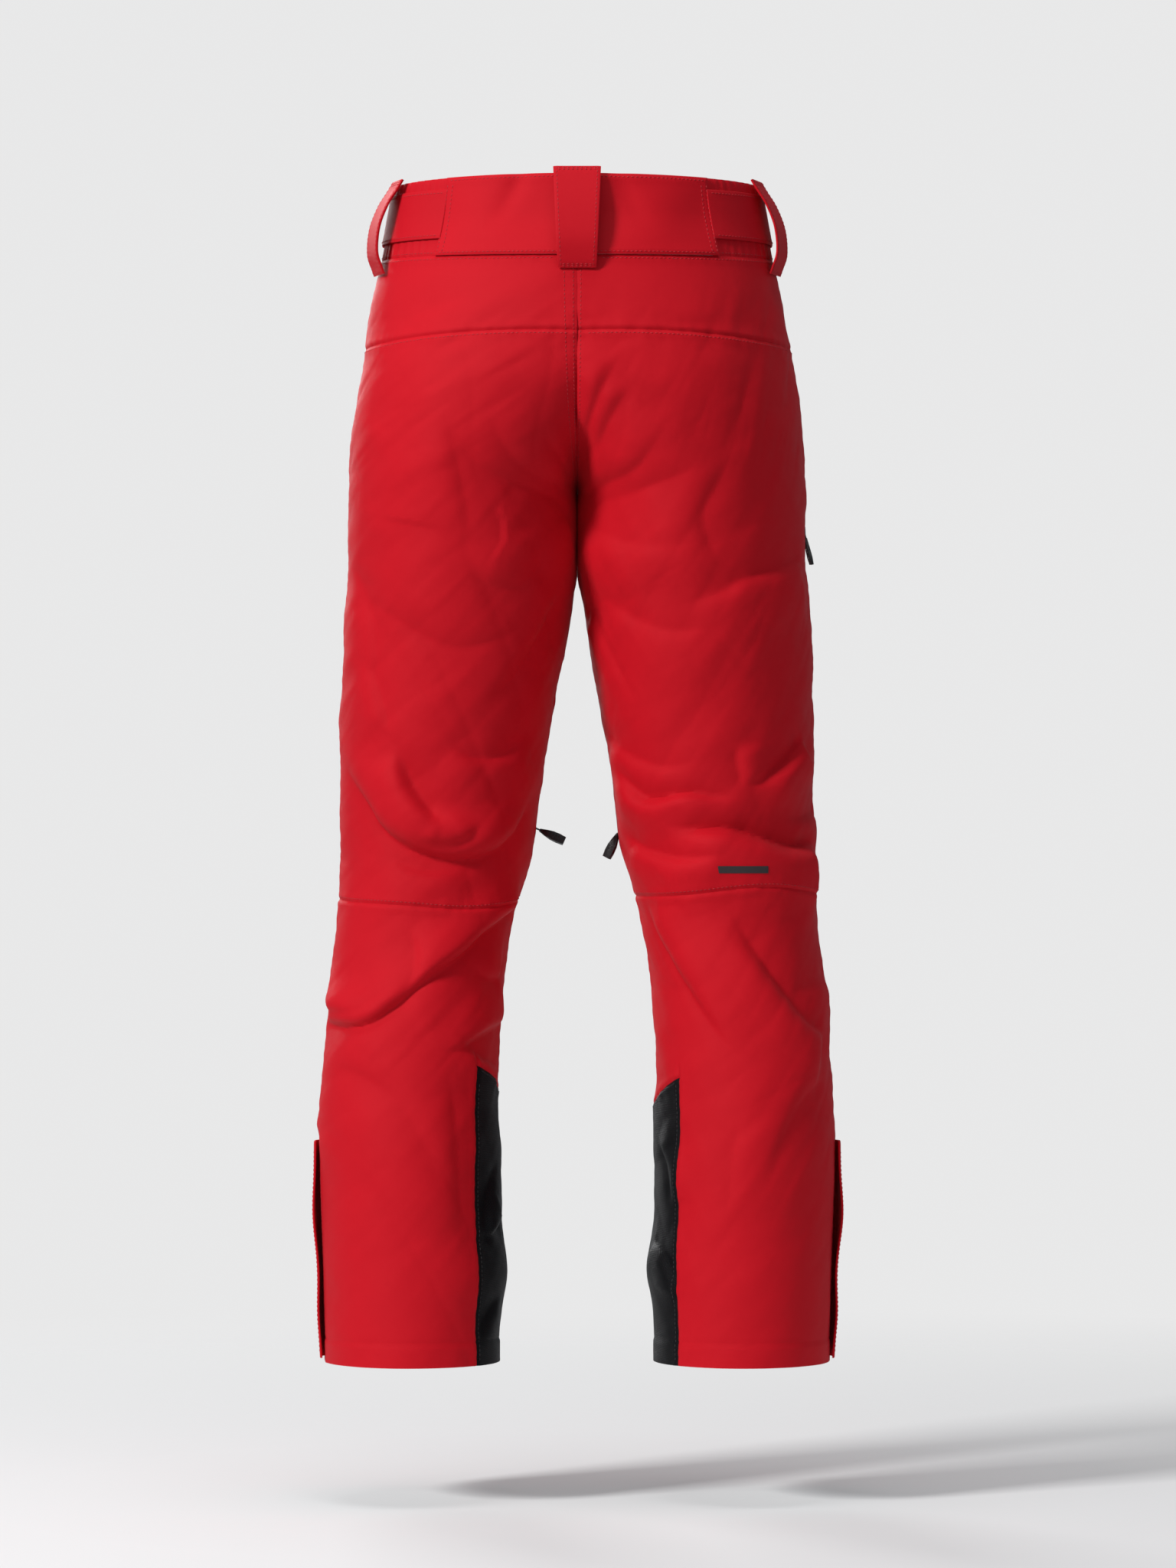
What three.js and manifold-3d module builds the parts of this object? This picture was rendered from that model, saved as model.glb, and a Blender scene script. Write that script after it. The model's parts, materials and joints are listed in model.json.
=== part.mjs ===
// Insulated ski pants in their worn shape, size medium. Millimetres, +Z up, front towards -Y.
// Heights are measured up from the hem; the exported group is then lowered so that its origin is
// the centre of the waist opening at belt height. The left side is modelled at +X and the right
// side is its mirror image.
import * as THREE from "three";
import { mergeVertices } from "three/addons/utils/BufferGeometryUtils.js";
import Module from "manifold-3d";

const wasm = await Module();
wasm.setup();

// ---- Driving dimensions -----------------------------------------------------------------------
const BELT_HEIGHT = 1036; // hem to the middle of the waistband
const SHELL = 2.4; // outer fabric, insulation and lining together
const SEAM_GAP = 0.4; // between two panels sewn to each other
const STRAP = 1.9; // doubled fabric of loops, tabs and flaps
const CROTCH_HEIGHT = 790;
const DEG = Math.PI / 180;

// The outline of one half of the pants, seen level: the outer and inner edge in X, the middle and
// half depth in Y. An inner edge below zero means that the two halves run into each other, above
// the crotch.
const OUTLINE = [
  // height, outer X, inner X, middle Y, half depth
  [0, 229, 71, 22, 93],
  [100, 232, 71, 18, 90.5],
  [200, 235, 71, 14, 88],
  [262, 231, 72, 8, 86],
  [332, 226, 69, -2, 85],
  [402, 219, 60, -14, 87],
  [472, 217, 41.2, -23, 93],
  [542, 217, 30.4, -18, 99],
  [612, 214, 19.5, -13, 105],
  [682, 210, 8.6, -8, 112],
  [740, 208, 1.6, -3, 118],
  [788, 208, 0.4, 0, 122],
  [820, 206.5, -10.5, 3, 126],
  [857, 203, -43, 6, 131],
  [892, 198, -78, 7.5, 134],
  [927, 192.5, -112.5, 7.5, 131.5],
  [962, 187, -143, 6.5, 128],
  [1007, 178, -166, 3, 122],
  [1040, 172, -172, 0, 117],
  [1090, 163, -163, 0, 110],
];

const RED = 0xc8102a;
const BLACK = 0x17181b;
const CHARCOAL = 0x2b2c30;
const GREY = 0x8f9196;

// ---- The surface of the pants -----------------------------------------------------------------
// Slopes of a curve through the outline's rows that doesn't overshoot between them.
function slopesOf(column) {
  const rise = OUTLINE.slice(1).map(
    (row, i) => (row[column] - OUTLINE[i][column]) / (row[0] - OUTLINE[i][0]),
  );
  return OUTLINE.map((_, i) => {
    if (i === 0) return rise[0];
    if (i === rise.length) return rise[i - 1];
    return rise[i - 1] * rise[i] <= 0
      ? 0
      : (2 * rise[i - 1] * rise[i]) / (rise[i - 1] + rise[i]);
  });
}
const SLOPES = [0, 1, 2, 3, 4].map((column) => slopesOf(column));

function outlineAt(height, column) {
  let i = 0;
  while (i < OUTLINE.length - 2 && height > OUTLINE[i + 1][0]) i += 1;
  const [low, high] = [OUTLINE[i], OUTLINE[i + 1]];
  const span = high[0] - low[0];
  const t = THREE.MathUtils.clamp((height - low[0]) / span, -0.2, 1.2);
  const slope = SLOPES[column];
  return (
    low[column] * (2 * t ** 3 - 3 * t ** 2 + 1) +
    span * slope[i] * (t ** 3 - 2 * t ** 2 + t) +
    high[column] * (3 * t ** 2 - 2 * t ** 3) +
    span * slope[i + 1] * (t ** 3 - t ** 2)
  );
}

function sectionAt(height) {
  const outer = outlineAt(height, 1);
  const inner = outlineAt(height, 2);
  return {
    middleX: (outer + inner) / 2,
    halfWidth: (outer - inner) / 2,
    middleY: outlineAt(height, 3),
    halfDepth: outlineAt(height, 4),
  };
}

// How far round a half goes before it meets the other half's centre seam. Below the crotch that
// is the whole way.
function roundTo(height) {
  const { middleX, halfWidth } = sectionAt(height);
  const reach = (middleX - SEAM_GAP / 2) / halfWidth;
  return reach >= 1 ? Math.PI : Math.acos(-reach);
}

// The inner quarters are squarer above the crotch, so that the front stays nearly flat between
// the thighs.
function squareness(height, isFront) {
  const above = THREE.MathUtils.smoothstep(height, CROTCH_HEIGHT, CROTCH_HEIGHT + 130);
  return 2 + above * (isFront ? 1.6 : 0.4);
}

// A point of the surface. The angle is 0 at the side seam, positive towards the back and negative
// towards the front.
function skinPoint(height, angle, lift = 0) {
  const s = sectionAt(height);
  const across = Math.cos(angle);
  const isFront = Math.sin(angle) < 0;
  const power = across < 0 ? squareness(height, isFront) : 2;
  const depth = (1 - Math.min(1, Math.abs(across)) ** power) ** (1 / power);
  return new THREE.Vector3(
    s.middleX + (s.halfWidth + lift) * across,
    s.middleY + (isFront ? -1 : 1) * (s.halfDepth + lift) * depth,
    height,
  );
}

// ---- Closed solids ----------------------------------------------------------------------------
function geometryOf(solid) {
  const { numProp, numVert, vertProperties, triVerts } = solid.getMesh();
  const position = new Float32Array(numVert * 3);
  for (let i = 0; i < numVert; i += 1)
    position.set(vertProperties.subarray(i * numProp, i * numProp + 3), i * 3);
  return new THREE.BufferGeometry()
    .setAttribute("position", new THREE.BufferAttribute(position, 3))
    .setIndex(new THREE.BufferAttribute(triVerts, 1));
}

function solidOf(geometry) {
  const bare = new THREE.BufferGeometry().setAttribute(
    "position",
    geometry.getAttribute("position"),
  );
  if (geometry.index) bare.setIndex(geometry.index);
  const merged = mergeVertices(bare, 1e-3);
  const triVerts = new Uint32Array(merged.index.array);
  const vertProperties = merged.attributes.position.array;
  const solid = new wasm.Manifold(
    new wasm.Mesh({ numProp: 3, vertProperties, triVerts }),
  );
  if (solid.volume() > 0) return solid;
  for (let i = 0; i < triVerts.length; i += 3)
    [triVerts[i + 1], triVerts[i + 2]] = [triVerts[i + 2], triVerts[i + 1]];
  return new wasm.Manifold(
    new wasm.Mesh({ numProp: 3, vertProperties, triVerts }),
  );
}

const lerp = THREE.MathUtils.lerp;
const always = (value) => () => value;

// Closes two layers of points, columns by rows, into one slab.
function closedSlab(underPoints, overPoints, columns, rows) {
  const stride = rows + 1;
  const count = (columns + 1) * stride;
  const index = [];
  const quad = (a, b, c, d) => index.push(a, b, c, a, c, d);
  for (let i = 0; i < columns; i += 1)
    for (let j = 0; j < rows; j += 1) {
      const a = i * stride + j;
      quad(count + a, count + a + stride, count + a + stride + 1, count + a + 1);
      quad(a, a + 1, a + stride + 1, a + stride);
    }
  for (let i = 0; i < columns; i += 1) {
    const [low, high] = [i * stride, i * stride + rows];
    quad(low, low + stride, count + low + stride, count + low);
    quad(high, count + high, count + high + stride, high + stride);
  }
  for (let j = 0; j < rows; j += 1) {
    const [near, far] = [j, columns * stride + j];
    quad(near, count + near, count + near + 1, near + 1);
    quad(far, far + 1, count + far + 1, count + far);
  }
  const position = [...underPoints, ...overPoints].flatMap((p) => p.toArray());
  const geometry = new THREE.BufferGeometry()
    .setAttribute("position", new THREE.Float32BufferAttribute(position, 3))
    .setIndex(index);
  return solidOf(geometry);
}

// A sheet of even thickness that follows the surface: columns run round it, rows run up it, and
// it is closed at its edges. from and to are angles by height, bottom and top are heights by
// angle, under and over are lifts off the skin.
function sheet({ from, to, bottom, top, under, over, columns, rows }) {
  const angleAt = (u, height) => lerp(from(height), to(height), u);
  const edgeHeight = (u, edge) => {
    let height = edge(angleAt(u, 500));
    for (let pass = 0; pass < 3; pass += 1) height = edge(angleAt(u, height));
    return height;
  };
  const layers = [under, over].map((lift) => {
    const points = [];
    for (let i = 0; i <= columns; i += 1) {
      const u = i / columns;
      const [low, high] = [edgeHeight(u, bottom), edgeHeight(u, top)];
      for (let j = 0; j <= rows; j += 1) {
        const height = lerp(low, high, j / rows);
        const angle = angleAt(u, height);
        points.push(skinPoint(height, angle, lift(angle, height)));
      }
    }
    return points;
  });
  return closedSlab(layers[0], layers[1], columns, rows);
}

function box(width, depth, height, x = 0, y = 0, z = 0) {
  return solidOf(new THREE.BoxGeometry(width, depth, height).translate(x, y, z));
}

// ---- Seam lines -------------------------------------------------------------------------------
const waistSeam = (angle) =>
  1002 + Math.sin(angle) ** 2 * (Math.sin(angle) > 0 ? -3 : -10);
const waistTop = (angle) =>
  1070 + Math.sin(angle) ** 2 * (Math.sin(angle) > 0 ? 3 : -13);
const yokeSeam = (angle) => 921 + 10 * Math.sin(angle) ** 2;
const kneeSeam = (angle) => 420 + 5 * Math.sin(angle);
const below = (seam) => (angle) => seam(angle) - SEAM_GAP;

const sideGap = (height) => SEAM_GAP / 2 / sectionAt(height).halfWidth;
const backEnd = (height) => roundTo(height) - sideGap(height);
const frontEnd = (height) => -backEnd(height);
const skinLayer = { under: always(-SHELL), over: always(0) };

// ---- Zips -------------------------------------------------------------------------------------
const TAPE_DEPTH = 5; // the tape's face lies this far under the skin
const SLOT_WIDTH = 12;
const COIL = { width: 4.4, height: 1.4 };
const SLIDER = { width: 8, length: 11, plateLow: 1.7, plateHigh: 2.7, archHigh: 5.2, postOut: 4 };
const PIN = { lift: 3.5, radius: 0.6 };
const PULLER = { near: 6.2, length: 25, neckWidth: 4.6, endWidth: 8.4 };
const FLAT_GRIP = { thickness: 2.6, turn: 0 }; // a puller's grip, and its turn about its own length

// A zip's own frame: Z runs from the closed slider towards the open end, Y points out of the fabric.
function zipFrame(start, end, outward) {
  const along = end.clone().sub(start).normalize();
  const out = outward.clone().addScaledVector(along, -outward.dot(along)).normalize();
  const across = new THREE.Vector3().crossVectors(out, along);
  const matrix = new THREE.Matrix4().makeBasis(across, out, along);
  return { matrix: matrix.setPosition(start), length: start.distanceTo(end) };
}

// The frame of a zip that runs up or down the skin at one angle, with its tape sunk under the skin.
function skinZip(angle, startHeight, endHeight, lift = -TAPE_DEPTH) {
  const start = skinPoint(startHeight, angle, lift);
  const end = skinPoint(endHeight, angle, lift);
  const middle = (startHeight + endHeight) / 2;
  const outward = skinPoint(middle, angle, 10).sub(skinPoint(middle, angle, 0));
  return zipFrame(start, end, outward);
}

// The opening in the shell over a zip. A zip that ends at a free edge runs out through it.
function zipSlot({ matrix, length }, runOut = 11) {
  const slot = box(SLOT_WIDTH, 26, length + 11 + runOut, 0, 0, (length + 11 - runOut) / 2);
  return solidOf(geometryOf(slot).applyMatrix4(matrix));
}

// Tape and coil in one piece, with a stop at each end.
function zipTape({ length }) {
  const tape = box(21, 0.9, length + 26, 0, -0.45, length / 2);
  const coil = box(COIL.width, COIL.height + 0.2, length + 16, 0, COIL.height / 2 - 0.1, length / 2);
  const stopAt = (z) => box(6, 2, 2.4, 0, 0.9, z);
  return tape.add(coil).add(stopAt(-8)).add(stopAt(length + 8));
}

function zipSlider() {
  const { width, length, plateLow, plateHigh, archHigh, postOut } = SLIDER;
  const plate = box(width, plateHigh - plateLow, length, 0, (plateLow + plateHigh) / 2, 0);
  const cheekAt = (x) => box(1.1, plateHigh - 0.35, length - 1.5, x, (plateHigh + 0.35) / 2, 0);
  const postAt = (z) => box(2, archHigh - plateHigh + 0.2, 1.6, 0, (archHigh + plateHigh) / 2 - 0.1, z);
  const bar = box(2, archHigh - PIN.lift - PIN.radius - 0.35, 2 * postOut + 1.6, 0, 0, 0);
  const barLift = (archHigh + PIN.lift + PIN.radius + 0.35) / 2;
  const cheek = (width - 1.1) / 2;
  return plate
    .add(cheekAt(cheek))
    .add(cheekAt(-cheek))
    .add(postAt(postOut))
    .add(postAt(-postOut))
    .add(bar.translate([0, barLift, 0]));
}

// The puller hangs from a pin under the slider's arch, turned away from the fabric by tilt about
// that pin. Its grip may also be turned about its own length.
function zipPuller(hang, tilt, { thickness, turn }) {
  const { near, length, neckWidth, endWidth } = PULLER;
  const outline = new THREE.Shape();
  outline.moveTo(-neckWidth / 2, near);
  outline.lineTo(neckWidth / 2, near);
  outline.lineTo(endWidth / 2, near + length * 0.55);
  outline.lineTo(endWidth / 2, near + length - 2.5);
  outline.lineTo(endWidth / 2 - 2.5, near + length);
  outline.lineTo(2.5 - endWidth / 2, near + length);
  outline.lineTo(-endWidth / 2, near + length - 2.5);
  outline.lineTo(-endWidth / 2, near + length * 0.55);
  const tab = new THREE.ExtrudeGeometry(outline, { depth: thickness, bevelEnabled: false })
    .translate(0, 0, -thickness / 2)
    .rotateX(Math.PI / 2)
    .rotateZ(turn);
  const pin = new THREE.CylinderGeometry(PIN.radius, PIN.radius, 5.4, 12).rotateZ(Math.PI / 2);
  const armAt = (x) => box(1, 1.3, near + 1.5, x, 0, (near + 1.5) / 2 - 0.5);
  const tagged = solidOf(tab).add(solidOf(pin)).add(armAt(2.2)).add(armAt(-2.2));
  const geometry = geometryOf(tagged);
  if (hang < 0) geometry.rotateY(Math.PI);
  return geometry.rotateX(-hang * tilt).translate(0, PIN.lift, 0);
}

// ---- The group that is exported ---------------------------------------------------------------
const pants = new THREE.Group();
const leftSide = new THREE.Group();
const rightSide = new THREE.Group();
rightSide.scale.x = -1;
pants.add(leftSide, rightSide);
pants.position.z = -BELT_HEIGHT;

const fabric = (color) => new THREE.MeshStandardMaterial({ color, roughness: 0.85, metalness: 0 });
const redFabric = fabric(RED);
const blackFabric = fabric(BLACK);
const liningFabric = fabric(GREY);
const redTrim = fabric(0xb80e26);
const zipFabric = fabric(CHARCOAL);
const mouldedBlack = new THREE.MeshStandardMaterial({ color: BLACK, roughness: 0.45, metalness: 0 });
const darkMetal = new THREE.MeshStandardMaterial({ color: 0x3a3b3e, roughness: 0.35, metalness: 0.9 });

function addPiece(parent, name, shape, material, matrix = null) {
  const geometry = shape.isBufferGeometry ? shape : geometryOf(shape);
  const mesh = new THREE.Mesh(geometry, material);
  mesh.name = name;
  if (matrix) mesh.applyMatrix4(matrix);
  parent.add(mesh);
}

function addPair(name, shape, material, matrix = null) {
  addPiece(leftSide, `${name}_left`, shape, material, matrix);
  addPiece(rightSide, `${name}_right`, shape, material, matrix);
}

function addZip(parent, name, side, frame, { hang, tilt, grip = FLAT_GRIP }) {
  addPiece(parent, `${name}_zip${side}`, zipTape(frame), zipFabric, frame.matrix);
  addPiece(parent, `${name}_slider${side}`, zipSlider(), darkMetal, frame.matrix);
  addPiece(parent, `${name}_puller${side}`, zipPuller(hang, tilt, grip), mouldedBlack, frame.matrix);
}

// ---- Zip places ------------------------------------------------------------------------------------
// hang is -1 where the puller falls back over the closed end, and +1 where it falls over the coil.
const ventZip = skinZip(Math.PI, 486, 694);
const ankleZip = skinZip(0, 38, 176);
const handZip = skinZip(-42 * DEG, 972, 846);
const cargoZip = skinZip(-17 * DEG, 757, 606, 1.4);
const flyZip = zipFrame(
  new THREE.Vector3(0, skinPoint(1036, -Math.PI / 2, -TAPE_DEPTH).y, 1036),
  new THREE.Vector3(0, skinPoint(900, frontEnd(900), -TAPE_DEPTH - 1).y, 900),
  new THREE.Vector3(0, -1, 0),
);
const RUN_OUT = 52;

const VENT_TILT_LEFT = 74 * DEG;
const VENT_TILT_RIGHT = 34 * DEG;
const VENT_GRIP_LEFT = { thickness: 4.6, turn: 68 * DEG };
const VENT_GRIP_RIGHT = { thickness: 4.6, turn: 62 * DEG };

// ---- Shell panels -----------------------------------------------------------------------------
function addYokes() {
  const panel = sheet({
    from: sideGap,
    to: backEnd,
    bottom: yokeSeam,
    top: below(waistSeam),
    ...skinLayer,
    columns: 12,
    rows: 4,
  });
  addPair("yoke", panel, redFabric);
}

function addBackThighs() {
  const panel = sheet({
    from: sideGap,
    to: backEnd,
    bottom: kneeSeam,
    top: below(yokeSeam),
    ...skinLayer,
    columns: 14,
    rows: 16,
  });
  addPair("back_thigh", panel.subtract(zipSlot(ventZip)), redFabric);
}

function addFrontThighs() {
  const panel = sheet({
    from: frontEnd,
    to: (height) => -sideGap(height),
    bottom: kneeSeam,
    top: below(waistSeam),
    ...skinLayer,
    columns: 14,
    rows: 18,
  });
  const cut = panel
    .subtract(zipSlot(ventZip))
    .subtract(zipSlot(handZip))
    .subtract(zipSlot(flyZip, RUN_OUT));
  addPair("front_thigh", cut, redFabric);
}

// The scuff guard wraps the inner ankle from its rear edge round to its front edge, with a sloping top.
const GUARD = { rear: 138 * DEG, front: 225 * DEG, rearTop: 260, frontTop: 210 };
function guardTop(angle) {
  const turned = angle < 0 ? angle + 2 * Math.PI : angle;
  return lerp(GUARD.rearTop, GUARD.frontTop, (turned - GUARD.rear) / (GUARD.front - GUARD.rear));
}

function guardSheet(grow, layer) {
  const side = grow / 85;
  return sheet({
    from: always(GUARD.rear - side),
    to: always(GUARD.front + side),
    bottom: always(grow ? -6 : 0),
    top: (angle) => guardTop(angle) + grow,
    ...layer,
    columns: 14,
    rows: 8,
  });
}

function addLowerLegs() {
  const cutter = guardSheet(SEAM_GAP, { under: always(-9), over: always(9) });
  const lower = { bottom: always(0), top: below(kneeSeam), ...skinLayer, columns: 14, rows: 10 };
  const calf = sheet({ ...lower, from: sideGap, to: backEnd });
  const shin = sheet({ ...lower, from: frontEnd, to: (height) => -sideGap(height) });
  const slot = zipSlot(ankleZip, RUN_OUT);
  addPair("back_calf", calf.subtract(cutter).subtract(slot), redFabric);
  addPair("front_shin", shin.subtract(cutter).subtract(slot), redFabric);
  addPair("scuff_guard", guardSheet(0, skinLayer), blackFabric);
}

// ---- Waistband --------------------------------------------------------------------------------
const BACK_PANEL_EDGE = 45.6 * DEG;
const BACK_PANEL_RAISE = 2.4;
const FRONT_PANEL_EDGE = -58 * DEG;
const WAIST_JOIN = SEAM_GAP / 165;

function waistPiece(from, to, over, columns) {
  const layer = { under: always(-SHELL), over: always(over) };
  return sheet({ from, to, bottom: waistSeam, top: waistTop, ...layer, columns, rows: 3 });
}

function addWaistband() {
  const pastMiddle = (height) => backEnd(height) + 2 * WAIST_JOIN;
  const rear = waistPiece(always(BACK_PANEL_EDGE), pastMiddle, BACK_PANEL_RAISE, 8);
  addPiece(pants, "waistband_back", rear.add(rear.mirror([1, 0, 0])), redFabric);
  const side = waistPiece(
    always(FRONT_PANEL_EDGE + WAIST_JOIN),
    always(BACK_PANEL_EDGE - WAIST_JOIN),
    0,
    14,
  );
  addPair("waistband_side", side, redTrim);
  const front = waistPiece(frontEnd, always(FRONT_PANEL_EDGE), 0, 6);
  addPair("waistband_front", front.subtract(zipSlot(flyZip, RUN_OUT)), redFabric);
}

// Adjuster tabs: the strap comes out from the back panel, and its front end peels off the waistband.
const TAB = { bottom: 1016, top: 1061, split: -3 * DEG, tip: -50 * DEG };
function addWaistTabs() {
  const layer = { under: always(0.6), over: always(0.6 + STRAP) };
  const heights = { bottom: always(TAB.bottom), top: always(TAB.top) };
  const strap = sheet({
    from: always(TAB.split + WAIST_JOIN),
    to: always(BACK_PANEL_EDGE - WAIST_JOIN),
    ...heights,
    ...layer,
    columns: 8,
    rows: 2,
  });
  const end = sheet({
    from: always(TAB.tip),
    to: always(TAB.split),
    ...heights,
    ...layer,
    columns: 8,
    rows: 2,
  });
  addPair("waist_tab", strap, redFabric);
  addPair("waist_tab_end", end, redFabric);
}

// A belt loop: a strap sewn at its top and bottom that stands off the waistband in a bow. It lies
// in its own frame, X outwards, Y up and Z across. facing is the way it looks; profile lists its
// inner face as [height, lift] pairs.
function addBeltLoop(parent, name, { angle, facing, width, footWidth, profile }) {
  const outward = new THREE.Vector3(Math.cos(facing), Math.sin(facing), 0);
  const base = skinPoint(BELT_HEIGHT, angle);
  const up = new THREE.Vector3(0, 0, 1);
  const inner = profile.map(([height, lift]) => {
    const out = skinPoint(height, angle, lift).sub(base).dot(outward);
    return new THREE.Vector2(out, height);
  });
  const line = new THREE.SplineCurve(inner);
  const steps = 16;
  const face = line.getPoints(steps);
  const back = face.map((p, i) => {
    const tangent = line.getTangent(i / steps);
    return new THREE.Vector2(p.x - tangent.y * STRAP, p.y + tangent.x * STRAP);
  });
  const geometry = new THREE.ExtrudeGeometry(new THREE.Shape([...face, ...back.reverse()]), {
    depth: width,
    bevelEnabled: false,
    steps: 1,
  }).translate(0, 0, -width / 2);
  const position = geometry.getAttribute("position");
  const [high, low] = [profile[0][0], profile[profile.length - 1][0]];
  for (let i = 0; i < position.count; i += 1) {
    const share = THREE.MathUtils.clamp((position.getY(i) - low) / (high - low), 0, 1);
    position.setZ(i, position.getZ(i) * lerp(footWidth / width, 1, share));
  }
  base.z = 0;
  if (parent === pants) base.x = 0;
  const across = new THREE.Vector3().crossVectors(outward, up);
  const place = new THREE.Matrix4().makeBasis(outward, up, across).setPosition(base);
  addPiece(parent, name, geometry, redFabric, place);
}

const SIDE_LOOP = {
  angle: 14 * DEG,
  facing: 15 * DEG,
  width: 40,
  footWidth: 38,
  profile: [
    [1073, 1.4],
    [1064, 5.2],
    [1050, 11.5],
    [1030, 15.4],
    [1008, 12.6],
    [994, 5.2],
    [988, 1.6],
  ],
};
const FRONT_LOOP = {
  angle: -72 * DEG,
  facing: -77 * DEG,
  width: 32,
  footWidth: 32,
  profile: [
    [1054, 1.8],
    [1047, 6.2],
    [1032, 11],
    [1008, 10.4],
    [991, 5],
    [985, 1.6],
  ],
};
const BACK_LOOP = {
  angle: 90 * DEG,
  facing: 90 * DEG,
  width: 43,
  footWidth: 35,
  profile: [
    [1078, 3.4],
    [1069, 7],
    [1042, 13.4],
    [1014, 12.8],
    [995, 6.4],
    [987, 1.6],
  ],
};

function addBeltLoops() {
  for (const [parent, side] of [[leftSide, "left"], [rightSide, "right"]]) {
    addBeltLoop(parent, `side_loop_${side}`, SIDE_LOOP);
    addBeltLoop(parent, `front_loop_${side}`, FRONT_LOOP);
  }
  addBeltLoop(pants, "back_loop", BACK_LOOP);
}

// ---- Fly --------------------------------------------------------------------------------------
const FLY_FLAP = { hingeX: 30, freeX: -24, bottom: 874, lift: 3, foot: 0.8 };
const SNAP = { x: -15, height: 1034, capRadius: 7.5, studRadius: 5 };

// The front of the pants at a signed X, because the flap crosses the middle.
function frontPoint(x, height, lift) {
  const s = sectionAt(height);
  const across = THREE.MathUtils.clamp((Math.abs(x) - s.middleX) / s.halfWidth, -1, 1);
  const angle = -Math.acos(across);
  const point = skinPoint(height, angle, lift);
  return new THREE.Vector3(x, point.y, height);
}

// The flap covers the zip from its sewn edge, at +X, to its free edge, and swings out like a door.
function flyFlap() {
  const { hingeX, freeX, bottom, lift, foot } = FLY_FLAP;
  const [columns, rows] = [8, 12];
  const layers = [0, STRAP].map((thick) => {
    const points = [];
    for (let i = 0; i <= columns; i += 1) {
      const share = i / columns;
      const x = lerp(hingeX, freeX, share);
      const rise = lerp(foot, lift, THREE.MathUtils.smoothstep(share, 0, 0.3));
      for (let j = 0; j <= rows; j += 1) {
        const height = lerp(bottom + 14 * share ** 3, waistTop(-Math.PI / 2), j / rows);
        points.push(frontPoint(x, height, rise + thick));
      }
    }
    return points;
  });
  return closedSlab(layers[0], layers[1], columns, rows);
}

function addFly() {
  addZip(pants, "fly", "", flyZip, { hang: 1, tilt: 0 });
  addPiece(pants, "fly_flap", flyFlap(), redFabric);
  const front = frontPoint(SNAP.x, SNAP.height, 0);
  const disc = (radius, low, high) =>
    new THREE.CylinderGeometry(radius, radius, high - low, 24).translate(
      front.x,
      front.y - (low + high) / 2,
      front.z,
    );
  const stud = disc(SNAP.studRadius, 0.5, 1.9);
  addPiece(pants, "snap_stud", stud, darkMetal);
  const capLift = FLY_FLAP.lift + STRAP + 0.8;
  addPiece(pants, "snap_cap", disc(SNAP.capRadius, capLift, capLift + 1.8), darkMetal);
}

// ---- Pockets ----------------------------------------------------------------------------------
function addPockets() {
  addZip(leftSide, "hand_pocket", "_left", handZip, { hang: 1, tilt: 18 * DEG });
  addZip(rightSide, "hand_pocket", "_right", handZip, { hang: 1, tilt: 18 * DEG });
  const bag = sheet({
    from: always(-74 * DEG),
    to: always(-26 * DEG),
    bottom: always(795),
    top: always(975),
    under: always(-12.5),
    over: always(-10.5),
    columns: 5,
    rows: 5,
  });
  addPair("pocket_bag", bag, liningFabric);
  addZip(rightSide, "cargo", "", cargoZip, { hang: 1, tilt: 12 * DEG });
  const pouch = sheet({
    from: always(-76 * DEG),
    to: always(-25 * DEG),
    bottom: always(596),
    top: always(772),
    under: always(0.4),
    over: (angle, height) => {
      const across = Math.sin(((angle / DEG + 76) / 51) * Math.PI);
      const up = Math.sin(((height - 596) / 176) * Math.PI);
      return 3.2 + 4.5 * Math.sqrt(Math.max(0, across * up));
    },
    columns: 8,
    rows: 8,
  });
  addPiece(rightSide, "cargo_pocket", pouch, redFabric);
}

// ---- Ankles -----------------------------------------------------------------------------------
const ANKLE_FLAP = { hinge: -12 * DEG, free: 9 * DEG, bottom: 3, top: 200 };

// The storm flap over the ankle zip: sewn in front of it, with a free edge that waves off the leg
// behind it.
function addAnkles() {
  for (const [parent, side] of [[leftSide, "_left"], [rightSide, "_right"]])
    addZip(parent, "ankle", side, ankleZip, { hang: -1, tilt: 0 });
  const rise = (angle, height) => {
    const share = (angle - ANKLE_FLAP.hinge) / (ANKLE_FLAP.free - ANKLE_FLAP.hinge);
    const bulge = (size, middle, spread) => size * Math.exp(-(((height - middle) / spread) ** 2));
    const wave = bulge(4.6, 132, 34) + bulge(2.2, 44, 26);
    return lerp(0.8, 3.4, THREE.MathUtils.smoothstep(share, 0, 0.4)) + wave * share ** 2;
  };
  const flap = sheet({
    from: always(ANKLE_FLAP.hinge),
    to: always(ANKLE_FLAP.free),
    bottom: always(ANKLE_FLAP.bottom),
    top: always(ANKLE_FLAP.top),
    under: rise,
    over: (angle, height) => rise(angle, height) + STRAP,
    columns: 6,
    rows: 14,
  });
  addPair("ankle_flap", flap, redFabric);
  addPair("gaiter", gaiter(), blackFabric);
}

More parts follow.
